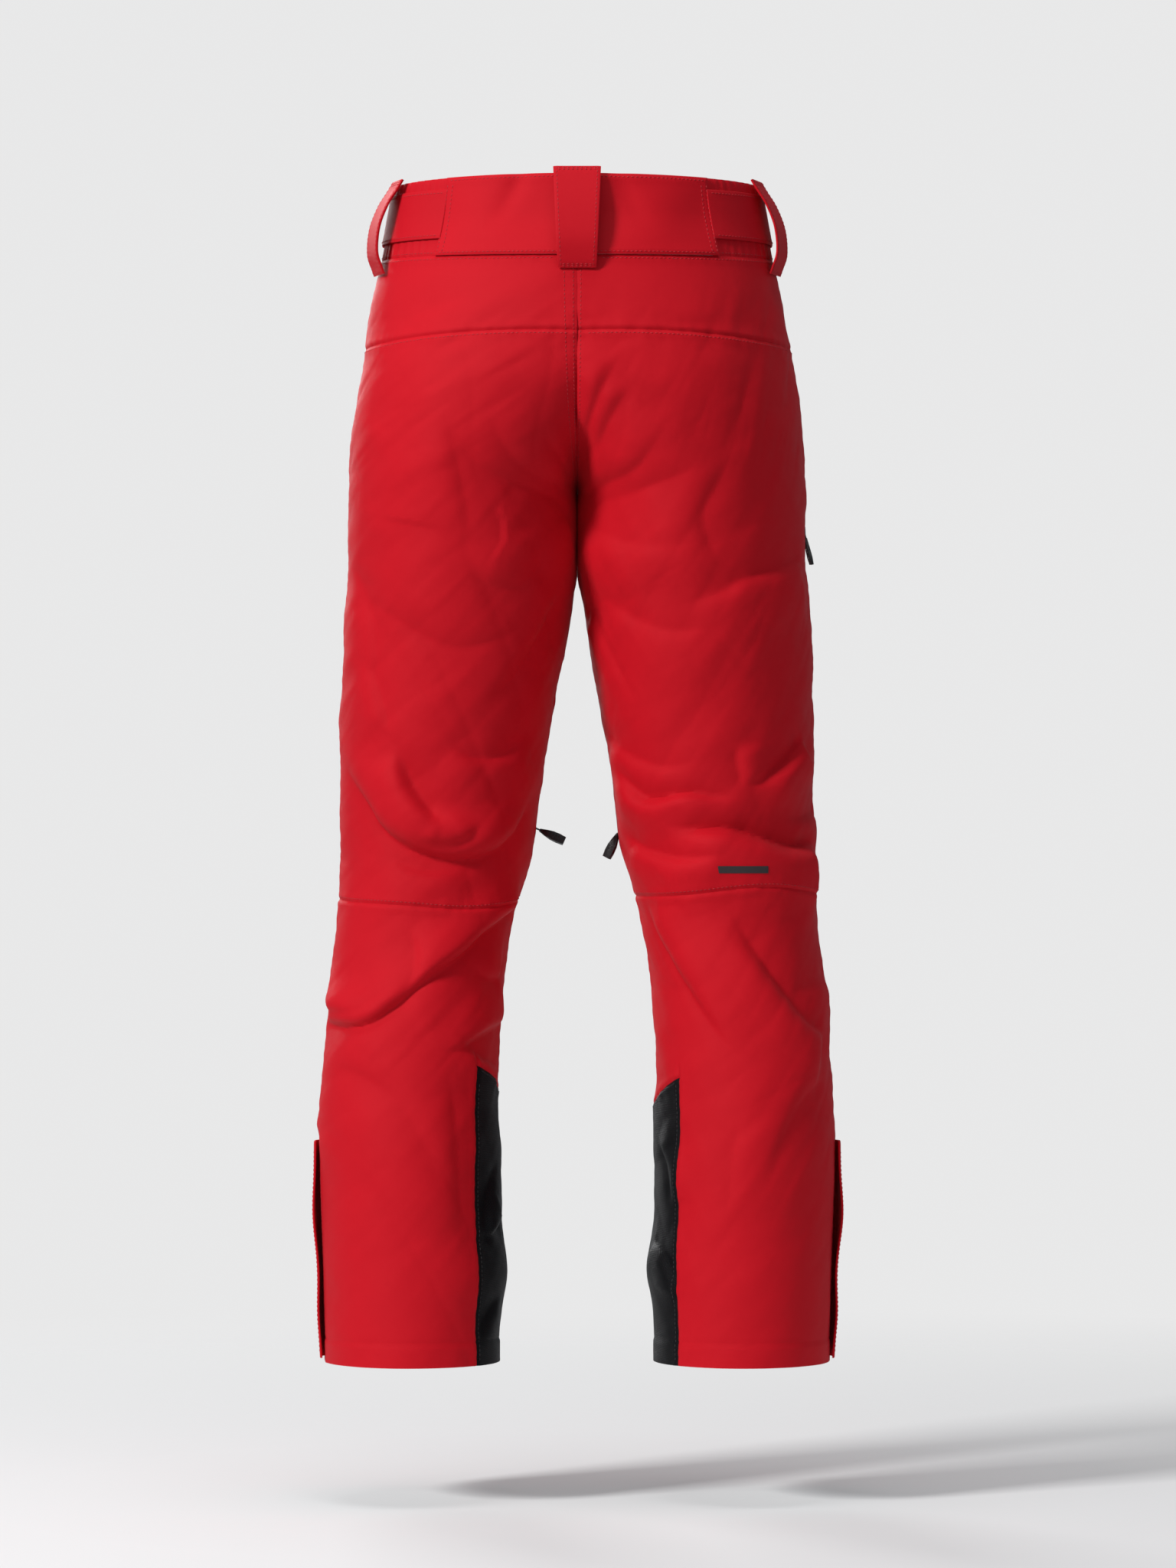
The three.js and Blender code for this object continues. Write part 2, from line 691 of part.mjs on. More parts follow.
// The inner snow cuff: a closed sleeve that narrows from the lining to its elastic hem.
function gaiter() {
  const [around, rows] = [32, 6];
  const [low, high, thick] = [8, 168, 1.6];
  const ringAt = (height, inset) => {
    const s = sectionAt(height);
    const narrow = lerp(17, 7.5, THREE.MathUtils.smoothstep(height, low, high * 0.8)) + inset;
    return Array.from({ length: around }, (_, k) => {
      const angle = (2 * Math.PI * k) / around;
      return new THREE.Vector3(
        s.middleX + (s.halfWidth - narrow) * Math.cos(angle),
        s.middleY + (s.halfDepth - narrow) * Math.sin(angle),
        height,
      );
    });
  };
  const heights = Array.from({ length: rows + 1 }, (_, j) => lerp(low, high, j / rows));
  const loop = [
    ...heights.map((h) => ringAt(h, 0)),
    ...heights.reverse().map((h) => ringAt(h, thick)),
  ];
  const index = [];
  loop.forEach((_, i) => {
    const next = (i + 1) % loop.length;
    for (let k = 0; k < around; k += 1) {
      const [a, b] = [i * around + k, i * around + ((k + 1) % around)];
      const [c, d] = [next * around + ((k + 1) % around), next * around + k];
      index.push(a, b, c, a, c, d);
    }
  });
  const geometry = new THREE.BufferGeometry()
    .setAttribute(
      "position",
      new THREE.Float32BufferAttribute(loop.flat().flatMap((p) => p.toArray()), 3),
    )
    .setIndex(index);
  return solidOf(geometry);
}

function addVents() {
  addZip(leftSide, "vent", "_left", ventZip, {
    hang: -1,
    tilt: VENT_TILT_LEFT,
    grip: VENT_GRIP_LEFT,
  });
  addZip(rightSide, "vent", "_right", ventZip, {
    hang: -1,
    tilt: VENT_TILT_RIGHT,
    grip: VENT_GRIP_RIGHT,
  });
}

addYokes();
addBackThighs();
addFrontThighs();
addLowerLegs();
addWaistband();
addWaistTabs();
addBeltLoops();
addFly();
addPockets();
addAnkles();
addVents();

export default pants;
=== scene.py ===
"""Red insulated ski pants: the finished cloth, zips and trim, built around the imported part.

Lengths inside the cloth classes are millimetres and heights are above the hem, as a pattern cutter measures them. They
become metres in the part's own frame, whose origin is at belt height, when a mesh is made. Angles round a leg are
radians from its outer side, positive towards the back.
"""

from __future__ import annotations

import json
import logging
import math
from dataclasses import dataclass, field
from enum import Enum
from typing import Callable, Sequence

import bmesh
import bpy
import numpy as np
from mathutils import Matrix, Vector

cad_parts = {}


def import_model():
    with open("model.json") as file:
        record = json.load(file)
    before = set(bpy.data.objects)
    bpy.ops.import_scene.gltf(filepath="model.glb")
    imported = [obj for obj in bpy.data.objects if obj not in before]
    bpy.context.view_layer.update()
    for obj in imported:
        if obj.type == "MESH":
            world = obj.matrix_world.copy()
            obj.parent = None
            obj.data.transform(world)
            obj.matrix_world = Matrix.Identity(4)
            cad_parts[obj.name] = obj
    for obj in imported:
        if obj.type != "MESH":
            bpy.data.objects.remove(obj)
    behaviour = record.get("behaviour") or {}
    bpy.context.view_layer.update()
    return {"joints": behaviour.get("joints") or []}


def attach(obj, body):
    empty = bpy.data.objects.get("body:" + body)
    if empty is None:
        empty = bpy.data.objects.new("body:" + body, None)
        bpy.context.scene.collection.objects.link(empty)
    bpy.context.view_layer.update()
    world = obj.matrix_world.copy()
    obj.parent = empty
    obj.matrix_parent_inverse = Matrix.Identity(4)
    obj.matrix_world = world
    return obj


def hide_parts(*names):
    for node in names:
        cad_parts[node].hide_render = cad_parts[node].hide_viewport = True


LOG = logging.getLogger("ski_pants")

BELT = 1036.0
CROTCH = 790.0
DEG = math.pi / 180
SHELL = 2.4
STRAP = 1.9

Field = Callable[[np.ndarray, np.ndarray], np.ndarray]
Line = Callable[[np.ndarray], np.ndarray]


class Side(Enum):
    """The wearer's side that a piece is on."""

    LEFT = 1
    RIGHT = -1

    @property
    def word(self) -> str:
        """The side's name as the nodes spell it."""
        return self.name.lower()


def smooth(value: np.ndarray, low: float, high: float) -> np.ndarray:
    """A soft step from 0 at low to 1 at high.

    Args:
        value: Where to read the step.
        low: Where the step starts.
        high: Where the step ends; it may lie below low.

    Returns:
        The step's height at each value.
    """
    t = np.clip((np.asarray(value, float) - low) / (high - low), 0, 1)
    return t * t * (3 - 2 * t)


def bump(value: np.ndarray, centre: float, width: float) -> np.ndarray:
    """A bell of height 1 at centre that has fallen to a third at one width."""
    return np.exp(-(((value - centre) / width) ** 2))


# ---- The shape on the body ----


class Form:
    """The smooth shape of one half of the pants on the body, as closed level sections at each height."""

    ROWS = (
        # height, outer X, inner X, middle Y, half depth
        (0, 229, 71, 22, 93),
        (100, 232, 71, 18, 90.5),
        (200, 235, 71, 14, 88),
        (262, 231, 72, 8, 86),
        (332, 226, 69, -2, 85),
        (402, 219, 60, -14, 87),
        (472, 217, 41.2, -23, 93),
        (542, 217, 30.4, -18, 99),
        (612, 214, 19.5, -13, 105),
        (682, 210, 8.6, -8, 112),
        (740, 208, 1.6, -3, 118),
        (788, 208, 0.4, 0, 122),
        (820, 206.5, -10.5, 3, 126),
        (857, 203, -43, 6, 131),
        (892, 198, -78, 7.5, 134),
        (927, 192.5, -112.5, 7.5, 131.5),
        (962, 187, -143, 6.5, 128),
        (1007, 178, -166, 3, 122),
        (1040, 172, -172, 0, 117),
        (1090, 163, -163, 0, 110),
    )

    def __init__(self) -> None:
        """Works out the slopes of a curve through the rows that doesn't overshoot."""
        self.rows = np.array(self.ROWS, float)
        heights, values = self.rows[:, 0], self.rows[:, 1:]
        rise = np.diff(values, axis=0) / np.diff(heights)[:, None]
        below, above = rise[:-1], rise[1:]
        product = below * above
        total = np.where(below + above == 0, 1, below + above)
        middle = np.where(product <= 0, 0, 2 * product / total)
        self.slopes = np.vstack([rise[:1], middle, rise[-1:]])

    def section(self, height: np.ndarray) -> tuple[np.ndarray, ...]:
        """The level section at a height.

        Args:
            height: Heights above the hem.

        Returns:
            The section's middle X, half width, middle Y and half depth.
        """
        heights = self.rows[:, 0]
        height = np.asarray(height, float)
        i = np.clip(np.searchsorted(heights, height) - 1, 0, len(heights) - 2)
        span = heights[i + 1] - heights[i]
        t = np.clip((height - heights[i]) / span, -0.2, 1.2)[..., None]
        low, high = self.rows[i, 1:], self.rows[i + 1, 1:]
        slope_low, slope_high = self.slopes[i], self.slopes[i + 1]
        span = span[..., None]
        value = (
            low * (2 * t**3 - 3 * t**2 + 1)
            + span * slope_low * (t**3 - 2 * t**2 + t)
            + high * (3 * t**2 - 2 * t**3)
            + span * slope_high * (t**3 - t**2)
        )
        outer, inner, middle_y, half_depth = np.moveaxis(value, -1, 0)
        return (outer + inner) / 2, (outer - inner) / 2, middle_y, half_depth

    def radius(self, height: np.ndarray) -> np.ndarray:
        """The mean radius of the section, which turns angles into lengths round it."""
        _, half_width, _, half_depth = self.section(height)
        return (half_width + half_depth) / 2

    def reach(self, height: np.ndarray) -> np.ndarray:
        """How far round a half goes before the centre seam: half a turn below the crotch.

        Args:
            height: Heights above the hem.

        Returns:
            The angles at which the half ends.
        """
        middle_x, half_width, _, _ = self.section(height)
        share = np.clip((middle_x - 0.02) / half_width, -1, 1)
        return np.arccos(-share)

    def skin(self, angle: np.ndarray, height: np.ndarray, lift: np.ndarray) -> np.ndarray:
        """Points of the surface.

        Args:
            angle: 0 at the side seam, positive towards the back, in radians.
            height: Heights above the hem.
            lift: How far off the smooth surface.

        Returns:
            Points with X outwards from the middle, Y to the back and Z up.
        """
        middle_x, half_width, middle_y, half_depth = self.section(height)
        across, front = np.cos(angle), np.sin(angle) < 0
        above = smooth(height, CROTCH, CROTCH + 130)
        power = np.where(across < 0, 2 + above * np.where(front, 1.6, 0.4), 2)
        depth = (1 - np.minimum(1, np.abs(across)) ** power) ** (1 / power)
        x = middle_x + half_width * across
        joined_up = smooth(height, CROTCH - 16, CROTCH + 10)
        free = 1 - joined_up * smooth(x, 26, 2)
        x = np.maximum(x + lift * across * free, 0.02)
        y = middle_y + np.where(front, -1, 1) * (half_depth + lift) * depth
        return np.stack([x, y, height + 0 * x], axis=-1)


def waist_seam(angle: np.ndarray) -> np.ndarray:
    """Height of the seam under the waistband."""
    s = np.sin(angle)
    return 1002 + s**2 * np.where(s > 0, -3, -10)


def waist_top(angle: np.ndarray) -> np.ndarray:
    """Height of the waistband's top edge."""
    s = np.sin(angle)
    return 1070 + s**2 * np.where(s > 0, 3, -13)


def yoke_seam(angle: np.ndarray) -> np.ndarray:
    """Height of the seam under the back yoke."""
    return 921 + 10 * np.sin(angle) ** 2


def knee_seam(side: Side) -> Line:
    """The seam round the knee of one side, which dips behind the left knee and rises behind the right one.

    Args:
        side: Which half.

    Returns:
        The seam's height at each angle.
    """
    left = side is Side.LEFT

    def line(angle: np.ndarray) -> np.ndarray:
        """Reads the line at each angle.

        Args:
            angle: Angles round the leg.

        Returns:
            The height at each angle.
        """
        degrees, s = np.degrees(angle), np.sin(angle)
        behind = -4 * s - 5 * bump(degrees, 120, 35) if left else 9 * bump(degrees, 66, 40) - 9 * bump(0, 66, 40)
        return (420 if left else 423) + np.where(s > 0, behind, 5 * s)

    return line


GUARD_REAR, GUARD_FRONT = 138 * DEG, 225 * DEG


def guard_top(side: Side) -> Line:
    """The scuff guard's sloping top edge on one side, level past its ends.

    Args:
        side: Which half.

    Returns:
        The edge's height at each angle.
    """
    high = 270 if side is Side.LEFT else 259

    def line(angle: np.ndarray) -> np.ndarray:
        """Reads the line at each angle.

        Args:
            angle: Angles round the leg.

        Returns:
            The height at each angle.
        """
        turned = np.where(angle < 0, angle + 2 * math.pi, angle)
        share = np.clip((turned - GUARD_REAR) / (GUARD_FRONT - GUARD_REAR), 0, 1)
        return high - 50 * share

    return line


def level(height: float) -> Line:
    """A line that stays at one height."""
    return lambda angle: np.full_like(np.asarray(angle, float), height)


def upright(angle: float) -> Line:
    """A line that stays at one angle."""
    return lambda height: np.full_like(np.asarray(height, float), angle)


# ---- Folds ----


@dataclass(frozen=True)
class Fold:
    """One fold of the cloth: a sharp valley with a soft pillow beside it.

    path lists (distance out from the middle of the body, height) pairs. The pillow lies on the left of the path's
    direction, seen from outside, where ridge_at is positive.
    """

    path: tuple[tuple[float, float], ...]
    depth: float
    width: float = 7.0
    ridge: float = 0.0
    ridge_at: float = 14.0
    fade: tuple[float, float] = (0.3, 0.3)
    front: bool = False

    def line(self, form: Form) -> np.ndarray:
        """The path on the unrolled cloth, as a smooth line.

        Args:
            form: The shape that the path lies on.

        Returns:
            Points of (length round from the side seam, height).
        """
        points = np.array(self.path, float)
        middle_x, half_width, _, _ = form.section(points[:, 1])
        angle = np.arccos(np.clip((points[:, 0] - middle_x) / half_width, -0.999, 0.999))
        around = angle * form.radius(points[:, 1]) * (-1 if self.front else 1)
        knots = np.column_stack([around, points[:, 1]])
        padded = np.vstack([2 * knots[0] - knots[1], knots, 2 * knots[-1] - knots[-2]])
        found = []
        for a, b, c, d in zip(padded, padded[1:], padded[2:], padded[3:]):
            for t in np.linspace(0, 1, 7)[:-1]:
                found.append(
                    0.5
                    * (2 * b + (c - a) * t + (2 * a - 5 * b + 4 * c - d) * t**2 + (3 * b - a - 3 * c + d) * t**3)
                )
        found.append(knots[-1])
        return np.array(found)

    def raise_cloth(self, line: np.ndarray, around: np.ndarray, height: np.ndarray) -> np.ndarray:
        """How far the fold lifts the cloth.

        Args:
            line: What line() returned.
            around: Length round from the side seam, of each place.
            height: Height of each place.

        Returns:
            The lift at each place, negative in the valley.
        """
        margin = 4 * self.width + 4.5 * abs(self.ridge_at)
        low, high = line.min(0) - margin, line.max(0) + margin
        near = (around > low[0]) & (around < high[0]) & (height > low[1]) & (height < high[1])
        lift = np.zeros_like(height, float)
        if not near.any():
            return lift
        place = np.column_stack([around[near], height[near]])
        start, step = line[:-1], np.diff(line, axis=0)
        lengths = np.linalg.norm(step, axis=1)
        offset = place[:, None, :] - start[None]
        share = np.clip((offset * step).sum(-1) / lengths**2, 0, 1)
        away = offset - share[..., None] * step
        distance = np.linalg.norm(away, axis=-1)
        best = distance.argmin(1)
        pick = np.arange(len(place))
        side = step[best, 0] * away[pick, best, 1] - step[best, 1] * away[pick, best, 0]
        signed = distance[pick, best] * np.where(side >= 0, 1, -1)
        run = (np.concatenate([[0], np.cumsum(lengths)])[best] + share[pick, best] * lengths[best]) / lengths.sum()
        fade_in = smooth(run, 0, self.fade[0]) if self.fade[0] else 1
        fade_out = smooth(run, 1, 1 - self.fade[1]) if self.fade[1] else 1
        away_side = signed * (1 if self.ridge_at > 0 else -1)
        steep = self.width * (0.8 + 0.9 * smooth(away_side, 2.5, -2.5))
        valley = -1.15 * self.depth * np.exp(-np.sqrt(signed**2 + 1.4**2) / steep)
        rise = (away_side + np.sqrt(away_side**2 + 2.0**2)) / 2 / abs(self.ridge_at)
        ridge = 1.75 * self.ridge * rise * np.exp(1 - rise) * smooth(rise, 5.5, 2.0)
        lift[near] = (valley + ridge) * fade_in * fade_out
        return lift


LEFT_FOLDS = (
    # behind the knee
    Fold(((164, 560), (150, 524), (129, 496), (118, 488)), 5.4, 5.5, 4.6, -10, fade=(0.4, 0.25)),
    Fold(((213, 549), (195, 514), (178, 486), (158, 470), (132, 459), (108, 456),
          (83, 461), (66, 472), (52, 492), (43, 520)),
         6.4, 5.5, 5.6, 15, fade=(0.35, 0.35)),
    Fold(((150, 478), (128, 470), (104, 474), (88, 490)), 3.0, 6, 2.6, 11),
    Fold(((176, 462), (150, 449), (122, 446), (100, 452)), 2.0, 7, 1.6, -12),
    Fold(((188, 640), (176, 600), (166, 566)), 1.6, 8, 2.0, -16),
    Fold(((120, 560), (92, 548), (64, 552), (44, 574)), 2.2, 8, 2.2, -15),
    # calf
    Fold(((56, 414), (77, 395), (104, 371), (132, 351), (163, 325), (196, 306), (229, 306)),
         5.6, 4.6, 4.2, -12, fade=(0.1, 0.12)),
    Fold(((232, 322), (214, 318), (196, 322), (180, 334)), 2.6, 6, 2.2, 11, fade=(0.2, 0.6)),
    Fold(((70, 305), (84, 298), (104, 286), (128, 282)), 3.6, 6, 3.0, -12, fade=(0.15, 0.5)),
    Fold(((73, 268), (84, 276), (98, 288), (116, 306)), 2.8, 5, 2.2, 10, fade=(0.15, 0.6)),
    Fold(((72, 345), (84, 350), (100, 364)), 2.2, 6, 2.0, -10, fade=(0.15, 0.6)),
    Fold(((152, 398), (146, 372), (150, 346), (166, 330)), 2.4, 9, 2.2, 16),
    Fold(((226, 270), (196, 262), (160, 236), (132, 190), (120, 150)), 1.5, 14, 1.4, 22),
    Fold(((120, 280), (112, 230), (108, 170), (104, 110)), 1.2, 12, 1.1, -20),
    Fold(((74, 186), (82, 150), (84, 118), (76, 98)), 2.4, 5, 2.0, 10),
    Fold(((73, 128), (82, 116), (96, 112)), 2.6, 5, 2.2, -9, fade=(0.1, 0.6)),
    Fold(((74, 62), (84, 40), (88, 18)), 2.2, 6, 1.8, 10),
    # seat and thigh
    Fold(((118, 862), (108, 834), (84, 808), (46, 792), (9, 778)), 1.8, 9, 2.2, 20, fade=(0.45, 0.15)),
    Fold(((80, 862), (66, 828), (42, 804), (8, 788)), 1.9, 9, 2.2, 16, fade=(0.5, 0.15)),
    Fold(((36, 850), (22, 822), (6, 798)), 1.4, 9, 1.6, 14, fade=(0.5, 0.15)),
    Fold(((118, 862), (106, 806), (98, 756), (104, 728)), 1.1, 15, 1.8, -26, fade=(0.35, 0.35)),
    Fold(((104, 728), (84, 706), (54, 704), (26, 740)), 1.3, 13.5, 1.9, 24),
    Fold(((96, 776), (66, 756), (34, 758), (8, 772)), 1.0, 12, 1.3, -20, fade=(0.5, 0.15)),
    Fold(((204, 730), (190, 690), (182, 650), (180, 610)), 1.6, 12, 1.6, -22),
    Fold(((196, 700), (160, 672), (120, 650), (80, 652), (40, 676)), 1.7, 13, 1.8, 26),
    Fold(((18, 700), (34, 660), (58, 622), (92, 586)), 2.0, 10, 1.9, -18, fade=(0.15, 0.5)),
)
RIGHT_FOLDS = (
    # behind the knee
    Fold(((81, 489), (102, 484), (137, 484), (165, 477), (193, 468), (214, 474)), 6.2, 5.5, 8.0, 19, fade=(0.3, 0.15)),
    Fold(((36, 544), (50, 524), (67, 511), (100, 517), (130, 513), (150, 516)), 5.0, 5.5, 4.4, 12, fade=(0.3, 0.35)),
    Fold(((205, 568), (193, 549), (176, 535), (154, 522)), 5.4, 5.5, 4.8, -13, fade=(0.15, 0.4)),
    Fold(((44, 480), (67, 464), (102, 457), (140, 462)), 3.4, 6, 3.0, 12),
    Fold(((142, 560), (146, 540), (150, 520)), 2.2, 6, 2.0, -10),
    Fold(((20, 580), (46, 552), (80, 540), (116, 548)), 2.0, 8, 2.0, 15),
    Fold(((218, 500), (200, 494), (176, 498)), 2.2, 6, 1.8, -10, fade=(0.1, 0.6)),
    # calf
    Fold(((62, 422), (72, 392), (85, 366), (109, 325), (134, 289), (160, 262)), 3.8, 7, 3.4, -16, fade=(0.2, 0.5)),
    Fold(((132, 420), (155, 381), (183, 342), (207, 311), (222, 300)), 3.8, 7, 3.6, 16, fade=(0.45, 0.1)),
    Fold(((224, 352), (206, 340), (188, 338)), 1.8, 7, 1.6, -12, fade=(0.15, 0.6)),
    Fold(((226, 262), (204, 240), (182, 200), (168, 150)), 1.6, 12, 1.5, 20, fade=(0.2, 0.5)),
    Fold(((150, 236), (140, 190), (136, 130)), 1.2, 13, 1.1, -20),
    Fold(((73, 204), (82, 176), (86, 140)), 2.2, 5, 2.0, -10),
    Fold(((73, 112), (84, 98), (92, 66), (84, 40)), 2.6, 5, 2.2, 10, fade=(0.1, 0.5)),
    # seat and thigh
    Fold(((4, 784), (26, 795), (54, 808), (75, 838), (85, 862)), 2.0, 9, 2.4, -18, fade=(0.15, 0.45)),
    Fold(((8, 778), (40, 784), (76, 796), (112, 812), (136, 830)), 1.5, 12, 2.0, -22, fade=(0.15, 0.5)),
    Fold(((7, 830), (14, 856), (28, 890), (46, 915)), 2.6, 6, 2.2, -11, fade=(0.2, 0.5)),
    Fold(((22, 822), (30, 852), (48, 880)), 2.0, 6, 1.8, -10),
    Fold(((136, 818), (124, 796), (113, 771), (116, 746), (132, 716)), 1.2, 12, 1.9, 24),
    Fold(((8, 762), (44, 742), (84, 738), (120, 748)), 1.3, 13.5, 1.8, 23, fade=(0.15, 0.5)),
    Fold(((88, 684), (122, 694), (158, 712), (204, 730)), 2.8, 9, 2.8, 19, fade=(0.4, 0.15)),
    Fold(((20, 700), (52, 674), (90, 662), (130, 668)), 1.8, 11, 1.8, 20),
    Fold(((14, 690), (30, 650), (48, 612), (66, 588)), 2.0, 9, 2.0, 16, fade=(0.15, 0.5)),
)
FRONT_FOLDS = (
    Fold(((6, 800), (40, 812), (84, 838), (120, 858)), 1.7, 12, 2.2, -20, fade=(0.15, 0.5), front=True),
    Fold(((6, 786), (46, 784), (92, 796), (140, 822)), 1.5, 12, 2.1, -22, fade=(0.15, 0.5), front=True),
    Fold(((8, 764), (50, 744), (96, 738), (136, 744)), 1.3, 13.5, 1.8, 23, fade=(0.15, 0.5), front=True),
    Fold(((10, 720), (44, 686), (86, 664), (130, 660)), 2.2, 11, 2.0, 20, fade=(0.15, 0.5), front=True),
    Fold(((206, 540), (176, 524), (136, 520), (92, 530), (52, 548)), 2.4, 9, 2.6, 20, front=True),
    Fold(((206, 452), (180, 440), (132, 436), (92, 444)), 2.2, 9, 2.2, -16, front=True),
    Fold(((206, 396), (184, 372), (140, 352), (96, 344)), 2.6, 9, 2.6, 18, front=True),
    Fold(((82, 372), (112, 330), (150, 304), (196, 292)), 2.4, 9, 2.4, 16, front=True),
    Fold(((206, 300), (190, 262), (168, 210), (160, 150)), 1.6, 12, 1.6, 20, front=True),
)


class Drape:
    """How the cloth of one half lies off the smooth shape: folds, slow waves, and the pull of its seams."""

    def __init__(self, form: Form, side: Side) -> None:
        """Prepares the folds of one side.

        Args:
            form: The shape on the body.
            side: Which half this is.
        """
        self.form, self.side = form, side
        own = LEFT_FOLDS if side is Side.LEFT else RIGHT_FOLDS
        self.folds = [(fold, fold.line(form)) for fold in (*own, *FRONT_FOLDS)]
        rng = np.random.default_rng(11 if side is Side.LEFT else 29)
        self.waves = [
            (rng.uniform(-1, 1), rng.uniform(-1, 1), rng.uniform(0, 2 * math.pi), wavelength)
            for wavelength in (190, 150, 120, 95, 78, 62, 52, 44, 36, 30, 25, 21)
        ]

    def folded(self, angle: np.ndarray, height: np.ndarray) -> np.ndarray:
        """The lift from the folds alone.

        Args:
            angle: Angles round the leg.
            height: Heights above the hem.

        Returns:
            The lift off the skin at each point.
        """
        radius = self.form.radius(height)
        wrap = smooth(height, CROTCH - 2, CROTCH - 30)
        lift = np.zeros_like(height, float)
        for turn, share in ((0, 1.0), (2 * math.pi, wrap), (-2 * math.pi, wrap)):
            around = (angle + turn) * radius
            if np.all(np.abs(around) > 420):
                continue
            for fold, line in self.folds:
                lift += share * fold.raise_cloth(line, around, height)
        return lift

    def waving(self, angle: np.ndarray, height: np.ndarray) -> np.ndarray:
        """Slow uneven waves that are the same all the way round.

        Args:
            angle: Angles round the leg.
            height: Heights above the hem.

        Returns:
            The lift off the skin at each point.
        """
        radius = self.form.radius(height)
        x, y = radius * np.cos(angle), radius * np.sin(angle)
        lift = np.zeros_like(height, float)
        for a, b, phase, wavelength in self.waves:
            k = 2 * math.pi / wavelength
            wave = np.sin(k * (a * x + b * y + 0.62 * height) + phase)
            patchy = 0.5 + 0.5 * np.sin(0.31 * k * (b * x - a * y + 0.9 * height) + 2 * phase)
            pinched = 1.2 - 2 * np.exp(-np.abs(wave) * 2.2)
            lift += wavelength * (0.0042 * wave + 0.0038 * pinched * patchy)
        return lift

    def seams(self, angle: np.ndarray, height: np.ndarray) -> np.ndarray:
        """The dip along each seam and the small puckers beside it.

        Args:
            angle: Angles round the leg.
            height: Heights above the hem.

        Returns:
            The lift off the skin at each point.
        """
        radius = self.form.radius(height)
        around = angle * radius
        turned = np.where(angle < 0, angle + 2 * math.pi, angle)
        reach = self.form.reach(height)
        inner = np.abs(reach - np.abs(np.where(angle > math.pi, 2 * math.pi - angle, angle))) * radius
        back = np.sin(angle) > 0
        top = guard_top(self.side)(angle)
        low = height < top + 12
        guard_side = np.minimum(np.abs(turned - GUARD_REAR), np.abs(turned - GUARD_FRONT)) * radius
        on_guard = (turned > GUARD_REAR - 0.02) & (turned < GUARD_FRONT + 0.02)
        far = 1e3
        lines = (
            (np.abs(around), height, 0.9),
            (np.where(height < 262, far, inner), height, np.where(height > CROTCH, 0.4, 1.0)),
            (np.abs(height - waist_seam(angle)), around, 1.1),
            (np.where(back, np.abs(height - yoke_seam(angle)), far), around, 1.0),
            (np.abs(height - knee_seam(self.side)(angle)), around, 1.0),
            (np.where(low, guard_side, far), height, 0.9),
            (np.where(on_guard, np.abs(height - top), far), around, 0.9),
        )
        lift = np.zeros_like(height, float)
        for distance, along, depth in lines:
            lift -= depth * np.exp(-((distance / 1.5) ** 1.5))
            lift += 0.45 * depth * bump(distance, 4.2, 2.6)
            pucker = np.sin(along * 0.52 + 2.0 * np.sin(along * 0.07))
            lift += 0.22 * pucker * np.exp(-distance / 7.0)
        return lift

    def held_flat(self, angle: np.ndarray, height: np.ndarray) -> np.ndarray:
        """1 where a flap, a pocket or a zip sewn on top keeps the cloth flat.

        Args:
            angle: Angles round the leg.
            height: Heights above the hem.

        Returns:
            A share from 0, free, to 1, flat.
        """
        degrees = np.degrees(angle)
        ankle = smooth(degrees, -18, -13) * smooth(degrees, 15, 10) * smooth(height, 216, 203)
        middle_x, half_width, _, _ = self.form.section(height)
        x = middle_x + half_width * np.cos(angle)
        fly = smooth(x, 46, 34) * smooth(height, 856, 870) * (np.sin(angle) < 0)
        held = np.maximum(ankle, fly)
        if self.side is Side.RIGHT:
            across = smooth(degrees, -84, -78) * smooth(degrees, -4, -9)
            held = np.maximum(held, across * smooth(height, 580, 592) * smooth(height, 788, 776))
        return held

    def __call__(self, angle: np.ndarray, height: np.ndarray) -> np.ndarray:
        """The whole lift of the cloth off the smooth shape.

        Args:
            angle: Angles round the half.
            height: Heights above the hem.

        Returns:
            The lift at each place.
        """
        calm = smooth(height, 996, 930) * (0.45 + 0.55 * smooth(height, 20, 240))
        fold_calm = smooth(height, 1000, 950)
        lift = self.folded(angle, height) * fold_calm + self.waving(angle, height) * calm
        lift *= 1 - self.held_flat(angle, height)
        inward = np.maximum(0, -np.cos(angle))
        guard = bump(height, 82, 30) * inward**2
        pressed = 4.0 * bump(height, 755, 42) * inward**6
        return lift + 6.5 * guard + pressed + self.seams(angle, height)


# ---- Meshes ----


def spaced(length: float, step: float, tight: bool) -> np.ndarray:
    """Shares along a length, closer together at both ends where a seam needs them.

    Args:
        length: The length, in millimetres.
        step: The usual spacing.
        tight: Whether both ends are tightened.

    Returns:
        Rising shares from 0 to 1.
    """
    count = max(2, int(round(length / step)))
    even = np.linspace(0, 1, count + 1)
    if not tight or length < 24:
        return even
    close = np.array([0, 0.7, 1.5, 2.4, 3.5, 5.0]) / length
    inner = np.linspace(close[-1], 1 - close[-1], max(2, int(round((length - 10) / step))) + 1)
    return np.concatenate([close[:-1], inner, 1 - close[:-1][::-1]])


